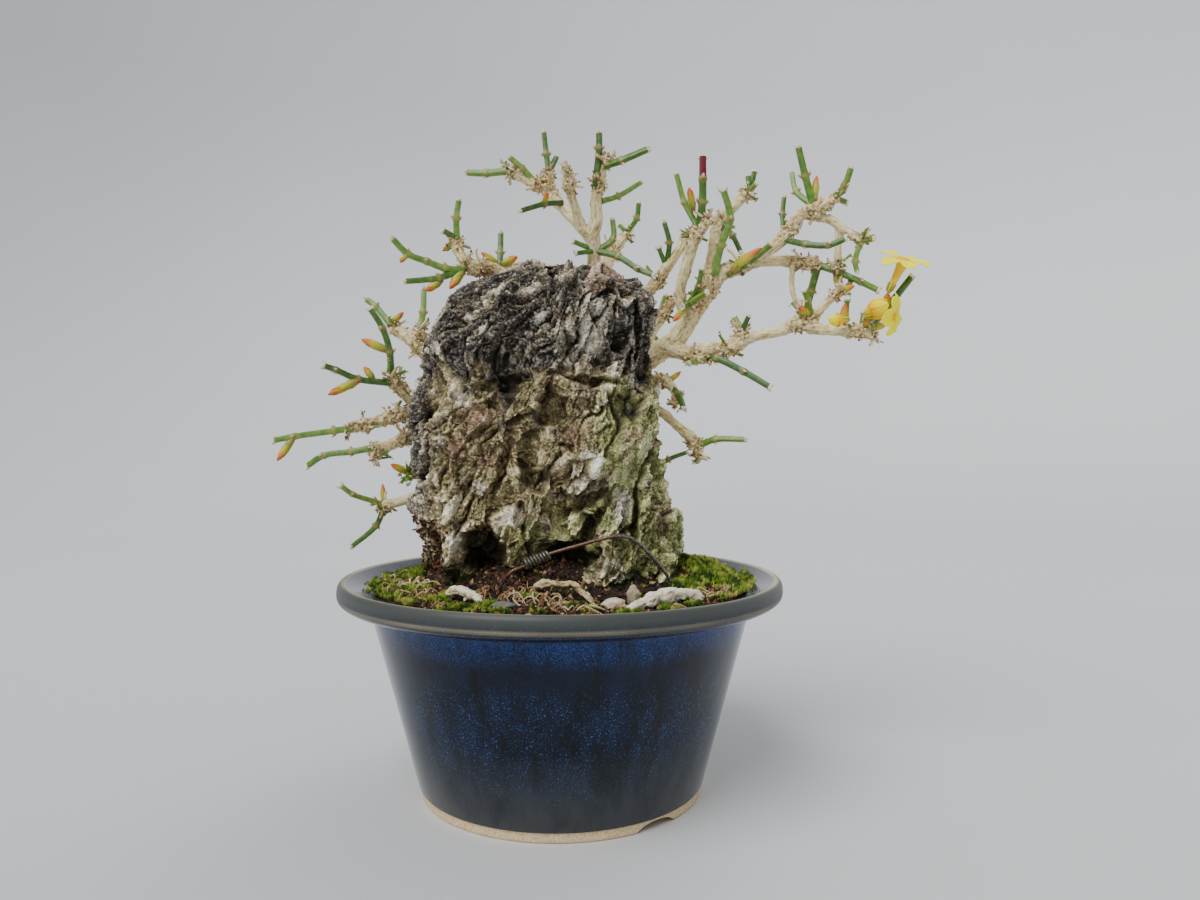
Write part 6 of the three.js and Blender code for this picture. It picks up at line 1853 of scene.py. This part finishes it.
@dataclass
class ShootFans:
    """Green square shoots with paired bud scales at their joints, cut tips and flower buds."""

    spacing: float = 0.8
    joint_gap: float = 11.0
    joint_swell: float = 0.28
    joint_spread: float = 0.75
    dry_tip: float = 1.3       # mm of pale dried skin below a cut
    crimson_fan: str = "shoots_right_crimson"
    crimson_from: float = 17.5
    seed: int = 77

    def build(self) -> None:
        """Make every fan in place of its CAD node."""
        scale = bud_scale(Skin.SCALE.value)
        bud = self.bud()
        draw = random.Random(self.seed)
        for name, fan in FANS.items():
            shapes = []
            for i, shoot in enumerate(fan.shoots):
                shapes += self.shoot(fan, shoot, scale, draw, name == self.crimson_fan and i == 0)
            for each in fan.buds:
                start = Vector(each.start or fan.root)
                along = Vector(each.to) - start
                thick = each.thick
                place = aimed(start, along, (thick, thick, along.length + 0.6), any_turn(draw))
                shapes.append(bud.copies([place], {"tone": [draw.random()]}))
            piece = stood_up("green_" + name, joined(shapes))
            dress(piece, (STEM, PITH, SCALE, BUD_SKIN, CRIMSON), (name,), 40)

    def shoot(self, fan: Fan, shoot: Shoot, scale: Shape, draw: random.Random, crimson: bool) -> list[Shape]:
        """Make one shoot with the scales at its joints.

        Args:
            fan: The fan that it belongs to.
            shoot: Its thickness and joints.
            scale: The scale that is copied.
            draw: The source of its small differences.
            crimson: Whether its far end is the crimson one.

        Returns:
            The stem and its scales.
        """
        path = laid_path([fan.root, *shoot.by], self.spacing)[:, :3]
        gone = gone_along(path)
        joints = self.joints(shoot, path, gone)
        swell = np.zeros(len(path))
        for at in joints:
            swell = np.maximum(swell, np.exp(-((gone - at) / self.joint_spread) ** 2))
        taper = np.interp(gone / gone[-1], [0, 0.15, 1], [1.12, 1.0, 0.86])
        radii = shoot.thick * 0.92 * taper * (1 + self.joint_swell * swell)
        stem = swept(path, radii, round_outline(12, 4.5), Skin.STEM.value, Skin.PITH.value)
        stem.values["joint"] = np.append(np.repeat(swell, 12), [0, 0]) * 0.6
        stem.toned(draw.uniform(0.15, 0.85)).toned(0.8, "share")
        spots = stem.values["along"]
        start, skin = (self.crimson_from, Skin.CRIMSON) if crimson else (gone[-1] - self.dry_tip, Skin.PITH)
        stem.slots = [
            skin.value if slot == Skin.STEM.value and min(spots[v] for v in face) > start else slot
            for face, slot in zip(stem.faces, stem.slots)
        ]
        places, dry_places = [], []
        tangents, sides, ups = frames_along(path)
        for k, at in enumerate([*joints, gone[-1] - 1.2]):
            i = int(np.searchsorted(gone, at).clip(0, len(path) - 1))
            for sign in (1, -1):
                out = Vector((sides[i] if k % 2 else ups[i]) * sign)
                foot = Vector(path[i]) + out * radii[i] * 0.7 - Vector(tangents[i]) * 0.5
                at_tip = k == len(joints)
                aim = out * draw.uniform(0.5, 0.9) * (0.4 if at_tip else 1) + Vector(tangents[i])
                wide = shoot.thick * draw.uniform(0.75, 1.05) * (1.2 if at_tip else 1)
                size = (wide, wide * 0.8, shoot.thick * draw.uniform(1.3, 2.1))
                (dry_places if at_tip else places).append(aimed(foot, aim, size, any_turn(draw)))
        dry = scale.copies(dry_places)
        dry.values["share"] = 0.6 + 0.4 * dry.values["share"]
        return [stem, scale.copies(places), dry]

    def joints(self, shoot: Shoot, path: np.ndarray, gone: np.ndarray) -> list[float]:
        """Return how far along the shoot its joints are."""
        spots = [0.0]
        for point in shoot.by:
            i = int(np.linalg.norm(path - point, axis=1).argmin())
            parts = max(1, round((gone[i] - spots[-1]) / self.joint_gap))
            start = spots[-1]
            spots += [start + (gone[i] - start) * k / parts for k in range(1, parts + 1)]
        return spots[1:-1] if len(spots) > 2 else []

    def bud(self) -> Shape:
        """Make one flower bud, 1 high and 1 in radius: a spindle in three pairs of overlapping scales."""
        piece = primitive(bpy.ops.mesh.primitive_uv_sphere_add, segments=10, ring_count=9, radius=0.5)
        points = points_of(piece)
        share = points[:, 2] + 0.5
        full = self.bud_radius(share) * 0.9 / np.maximum(np.hypot(points[:, 0], points[:, 1]), 1e-6)
        full = np.where(np.hypot(points[:, 0], points[:, 1]) < 1e-5, 0, full)
        set_points(piece, np.stack([points[:, 0] * full, points[:, 1] * full, share], axis=1))
        shapes = [taken(piece, Skin.BUD.value)]
        for level, (low, high) in enumerate(((-0.03, 0.34), (0.08, 0.62), (0.3, 0.9))):
            for side in (0, math.pi):
                shapes.append(self.bract(low, high, side + level * math.pi / 2, 1.06 - 0.02 * level))
        whole = joined(shapes)
        whole.values["share"] = np.clip(whole.points[:, 2], 0, 1)
        return whole

    def bud_radius(self, share: np.ndarray) -> np.ndarray:
        """Return the bud's radius up its length."""
        return np.interp(share, [0, 0.08, 0.3, 0.6, 0.85, 0.95, 1], [0.5, 0.62, 0.95, 1.0, 0.72, 0.4, 0])

    def bract(self, low: float, high: float, turn: float, out: float) -> Shape:
        """Make one scale that wraps part of the bud.

        Args:
            low: Where on the bud it starts, from 0 to 1.
            high: Where its point is.
            turn: The side of the bud that it is on.
            out: How far it stands out, as a share of the bud's radius.
        """
        piece = primitive(bpy.ops.mesh.primitive_grid_add, x_subdivisions=5, y_subdivisions=5, size=2)
        rows = []
        for a, b, _ in points_of(piece):
            t = (b + 1) / 2
            wide = 1.25 * math.sqrt(max(1 - t ** 2.2, 0.0)) + 0.04
            angle = turn + a * wide
            z = low + (high - low) * t
            radius = float(self.bud_radius(np.array([max(z, 0.0)]))[0]) * (out + 0.1 * t * t)
            rows.append((radius * math.cos(angle), radius * math.sin(angle), z))
        set_points(piece, np.array(rows))
        finish_with(piece, "SOLIDIFY", thickness=0.05, offset=-1)
        edit(piece, (bpy.ops.mesh.normals_make_consistent, {"inside": False}))
        return taken(piece, Skin.BUD.value)


# The flowers

@dataclass(frozen=True)
class Corolla:
    """One flower.

    Args:
        at: The foot of its tube.
        aim: The way its tube runs.
        face: The way its lobes face, or nothing for a flower that is still a closed ball of lobes.
        spin: Its turn in degrees.
        tube: How long its tube is.
        reach: How far its lobes reach from the tube's axis, or the radius of the closed ball.
    """

    at: Point
    aim: Point
    face: Point | None
    spin: float
    tube: float
    reach: float


COROLLAS: dict[str, list[Corolla]] = {
    "corolla_upper": [Corolla((113.1, -1.9, 170.9), (0.43, -0.1, 0.9), (0.16, -0.5, 1), 8, 12.5, 9)],
    "corolla_facing": [
        Corolla((104.5, -2.0, 162.4), (0.95, -0.3, 0.05), (0.8, -0.55, -0.2), 22, 10.5, 7.6),
        Corolla((103.8, -5.5, 163.2), (0.85, -0.35, 0.4), None, 0, 2.6, 2.7),
    ],
    "corolla_opening": [Corolla((99.5, -2, 161.6), (-0.95, -0.35, -0.1), None, 10, 4.5, 1.7)],
}


@dataclass
class Flowers:
    """Winter jasmine flowers: six blunt lobes round a slender golden tube, on a small green calyx."""

    lobes: int = 6
    lobe_width: float = 3.1
    petal_thickness: float = 0.22
    mouth: float = 2.2
    tube_rings: int = 15

    def lobe(self, reach: float) -> Shape:
        """Make one spread lobe that leaves the tube's mouth along +X."""
        length = reach - self.mouth + 0.9

        def bent(a: float, b: float) -> Row:
            t = (a + 1) / 2
            if t < 0.55:
                half = 1.25 + (self.lobe_width - 1.25) * math.sin(math.pi / 2 * t / 0.55)
            else:
                half = self.lobe_width * math.sqrt(max(1 - ((t - 0.55) / 0.455) ** 2, 0.0))
            droop = 0.5 * math.sin(math.pi * t) - 0.9 * t * t
            edge = 0.1 * half * b * b * (0.4 + t) + 0.12 * math.sin(7 * t + 3 * b)
            return (self.mouth - 0.9 + length * t, half * b, droop + edge)

        return self.sheet(bent, lambda p: p[:, 0] / reach)

    def wrapped(self, radius: float) -> Shape:
        """Make one lobe that wraps over a closed ball of lobes above the tube's mouth."""
        def bent(a: float, b: float) -> Row:
            t = (a + 1) / 2
            climb = math.pi * (0.1 + 0.82 * t)
            out = radius * (1 + 0.1 * b + 0.06 * t + 0.05 * math.sin(5 * t + b))
            turn = b * 0.95 * (1 - 0.35 * t) + 0.9 * t
            ring = out * math.sin(climb)
            return (ring * math.cos(turn), ring * math.sin(turn), radius - out * math.cos(climb) * 1.1)

        return self.sheet(bent, lambda p: p[:, 2] / (2 * radius) * 0.45 + 0.02)

    def sheet(self, bent: Callable[[float, float], Row], share: Callable[[np.ndarray], np.ndarray]) -> Shape:
        """Bend a grid by a rule and thicken it; the other rule says how far from the mouth a place is."""
        piece = primitive(bpy.ops.mesh.primitive_grid_add, x_subdivisions=11, y_subdivisions=8, size=2)
        set_points(piece, np.array([bent(a, b) for a, b, _ in points_of(piece)]))
        finish_with(piece, "SOLIDIFY", thickness=self.petal_thickness, offset=0)
        edit(piece, (bpy.ops.mesh.normals_make_consistent, {"inside": False}))
        made = taken(piece)
        made.values["share"] = np.clip(share(made.points), 0, 1)
        return made

    def throat(self, length: float, slot: int) -> Shape:
        """Make the tube, from its foot to its flared mouth."""
        share = np.linspace(0, 1, self.tube_rings)
        rows = np.stack([0 * share, 0 * share, np.linspace(0, length, self.tube_rings)], axis=1)
        radii = np.interp(share, [0, 0.15, 0.6, 0.9, 1], [0.8, 0.95, 1.45, 2.1, self.mouth + 0.3])
        tube = swept(rows, radii, round_outline(14), slot, slot)
        tube.values["share"] = tube.points[:, 2] / length
        return tube

    def flower(self, flower: Corolla) -> list[Shape]:
        """Make one flower: its lobes, its tube and its calyx."""
        stand = aimed(flower.at, flower.aim, (1, 1, 1), math.radians(flower.spin))
        mouth = stand @ Vector((0, 0, flower.tube - 0.35))
        limb = aimed(mouth, flower.face or flower.aim, (1, 1, 1), math.radians(flower.spin))
        one = self.lobe(flower.reach) if flower.face else self.wrapped(flower.reach)
        turns = [Matrix.Rotation(2 * math.pi * i / self.lobes, 4, "Z") for i in range(self.lobes)]
        tips = [
            limb @ Matrix.Translation((0, 0, 0.14 * (i % 2))) @ turn
            @ Matrix.Rotation(0.14 * math.sin(2.4 * i) if flower.face else 0.0, 4, "Y")
            for i, turn in enumerate(turns)
        ]
        sepal = bud_scale(2)
        sepals = [stand @ turn @ aimed((0.6, 0, 0.1), (0.25, 0, 1), (0.6, 0.95, 3.6)) for turn in turns]
        return [one.copies(tips), self.throat(flower.tube, 1).copies([stand]), sepal.copies(sepals)]

    def build(self) -> None:
        """Make each flower in place of its CAD node."""
        for name, flowers in COROLLAS.items():
            shape = joined([part for flower in flowers for part in self.flower(flower)])
            dress(stood_up("flower_" + name, shape), (PETAL, TUBE, CALYX), (name,), 50)


# The wire, the roots that surface and the small stones

WIRE_LEGS: list[Point] = [
    (-20, -33, 68), (-17, -35, 75), (-14, -36, 79), (-9, -34.5, 81), (-5, -33.5, 83.2), (6, -32, 86.5),
    (19, -31, 89.5), (23, -30.5, 88.8), (29, -28, 83.5), (35, -25, 76), (38, -23.5, 69),
]


@dataclass
class TieWire:
    """The stiff wire across the rock's foot and the coil wound on it."""

    gauge: float = 1.2
    coil_from: Point = (-10, -34.7, 81.2)
    coil_to: Point = (-2.5, -33.2, 84)
    coil_radius: float = 1.3
    coil_turns: int = 8
    turn_steps: int = 14
    coil_gauge: float = 0.95
    grey_from: float = 48      # mm along the wire, where its bright end starts

    def build(self) -> None:
        """Sweep the wire and its coil."""
        outline = round_outline(10)
        path = laid_path(WIRE_LEGS, 1.0)
        legs = swept(path, np.full(len(path), self.gauge / 2), outline)
        spots = legs.values["along"]
        legs.slots = [1 if min(spots[v] for v in face) > self.grey_from else 0 for face in legs.faces]
        start = Vector(self.coil_from)
        axis = Vector(self.coil_to) - start
        turn = axis.to_track_quat("Z", "Y").to_matrix()
        rows = []
        steps = self.coil_turns * self.turn_steps
        for i in range(steps + 1):
            angle = 2 * math.pi * i / self.turn_steps
            share = i / steps
            spot = level_way(angle) * self.coil_radius
            rows.append(start + axis * share + turn @ spot)
        coil_path = np.array([tuple(row) for row in rows])
        coil = swept(coil_path, np.full(len(rows), self.coil_gauge / 2), round_outline(8), 1, 1)
        piece = stood_up("bent_tie_wire", joined([legs, coil]))
        dress(piece, (COPPER, GREY_END), ("tie_wire",), 50)


@dataclass
class SurfaceRoots:
    """Roots that come up through the soil in front of the rock, uneven, cracked and flaking."""

    voxel: float = 0.3
    knob: float = 0.85         # mm, how far the roots are pushed out of true
    rib: float = 0.3           # mm, how high their ribs stand
    rootlets: int = 4
    tones: tuple[float, ...] = (0.85, 0.5, 0.8)
    seed: int = 9

    def build(self) -> None:
        """Melt each root and its rootlets into one skin, then knead it."""
        draw = random.Random(self.seed)
        for (name, points), tone in zip(SURFACE_ROOTS.items(), self.tones):
            rows = laid_path(points, 0.5)
            share = np.linspace(0, 1, len(rows))
            uneven = [0.88 + 0.3 * noise.noise(Vector(row[:3]) / 3.5) for row in rows]
            radii = rows[:, 3] * np.interp(share, [0, 0.1, 0.9, 1], [0.35, 1, 1, 0.3]) * uneven
            shapes = [swept(rows[:, :3], radii, round_outline(12))]
            for _ in range(self.rootlets):
                row = rows[int(draw.uniform(0.1, 0.9) * len(rows))]
                turn, long = draw.uniform(0, 2 * math.pi), draw.uniform(3, 7)
                tip = (row[0] + long * math.cos(turn), row[1] + long * math.sin(turn) * 0.6, row[2] - 1.6)
                middle = (row[0] * 0.5 + tip[0] * 0.5, row[1] * 0.5 + tip[1] * 0.5, row[2] + 0.2)
                side = laid_path([tuple(row[:3]), middle, tip], 0.6)
                shapes.append(swept(side, np.linspace(row[3] * 0.5, 0.4, len(side)), round_outline(8)))
            piece = stood_up("grown_" + name, joined(shapes))
            melt(piece, self.voxel, 0.5, 2)
            spots, normals = own_points(piece), normals_of(piece)
            kneaded = [self.kneaded(Vector(p), Vector(n)) for p, n in zip(spots, normals)]
            set_points(piece, placed(np.array(kneaded)))
            # Painted shade: the dips lower the tone towards dark brown; the stains are the root's own
            painted_dip_shade = np.clip(-relief_of(piece, 5) / 0.25, 0, 1)
            stain = np.array([max(0.0, noise.noise(Vector(p) / 2.3)) for p in spots])
            set_values(piece, {"tone": np.clip(tone - 0.5 * painted_dip_shade - 0.45 * stain, 0, 1)})
            dress(piece, (ROOT_BARK,), (name,), 60)

    def kneaded(self, p: Vector, n: Vector) -> Row:
        """Return where a place on the skin goes."""
        rib = noise.ridged_multi_fractal(squeezed(p, (5, 1.3, 1.3)), 1.0, 2.1, 3, 1.0, 2.0) - 1.1
        flake = noise.cell(noise.voronoi(p / 1.5)[1][0] * 31) - 0.5
        return tuple(p + self.knob * noise.noise_vector(p / 3.2) + n * (self.rib * rib + 0.25 * flake))


@dataclass(frozen=True)
class Stone:
    """One small stone: its middle, its half sizes, its turn in degrees and its tone."""

    at: Point
    size: Point
    turn: float
    tone: float


STONES: dict[str, Stone] = {
    "stone_cream": Stone((17.5, -44, 70.4), (3.9, 2.6, 1.9), 20, 0.8),
    "stone_finger": Stone((23.5, -37, 71.8), (2.0, 2.1, 3.2), 0, 0.55),
    "stone_grey": Stone((-15, -50, 71), (3.8, 2.4, 1.5), -15, 0.15),
}


@dataclass
class Stones:
    """Worn pebbles that lie half in the soil."""

    def build(self) -> None:
        """Knead a round pebble to each stone's size."""
        for name, stone in STONES.items():
            piece = primitive(bpy.ops.mesh.primitive_ico_sphere_add, "worn_" + name, subdivisions=4, radius=1)
            turn = Matrix.Rotation(math.radians(stone.turn), 4, "Z")
            rows = []
            for p in points_of(piece):
                dent = 1 + 0.22 * noise.noise(Vector(p) * 1.4 + Vector(stone.at))
                dent += 0.06 * noise.noise(Vector(p) * 4.5 + Vector(stone.at))
                spot = Vector((p[0] * stone.size[0], p[1] * stone.size[1], p[2] * stone.size[2])) * dent
                rows.append(tuple(turn @ spot + Vector(stone.at)))
            set_points(piece, placed(np.array(rows)))
            set_values(piece, {"tone": np.full(len(rows), stone.tone)})
            dress(piece, (PEBBLE,), (name,), 60)


def main() -> None:
    """Build the studio and every sub-assembly in order."""
    logging.basicConfig(level=logging.INFO, format="%(message)s")
    noise.seed_set(7)    # else the vector noise starts from the clock, and each run gives another rock
    Studio().build()
    Pot().build()
    Drainage().build()
    Soil(GROUND).build()
    Moss(GROUND).build()
    DryFibres(GROUND).build()
    rock = Rock().build()
    Crumbs(GROUND).build(rock)
    Wood().build(rock)
    ShootFans().build()
    Flowers().build()
    TieWire().build()
    SurfaceRoots().build()
    Stones().build()


if __name__ == "__main__":
    main()
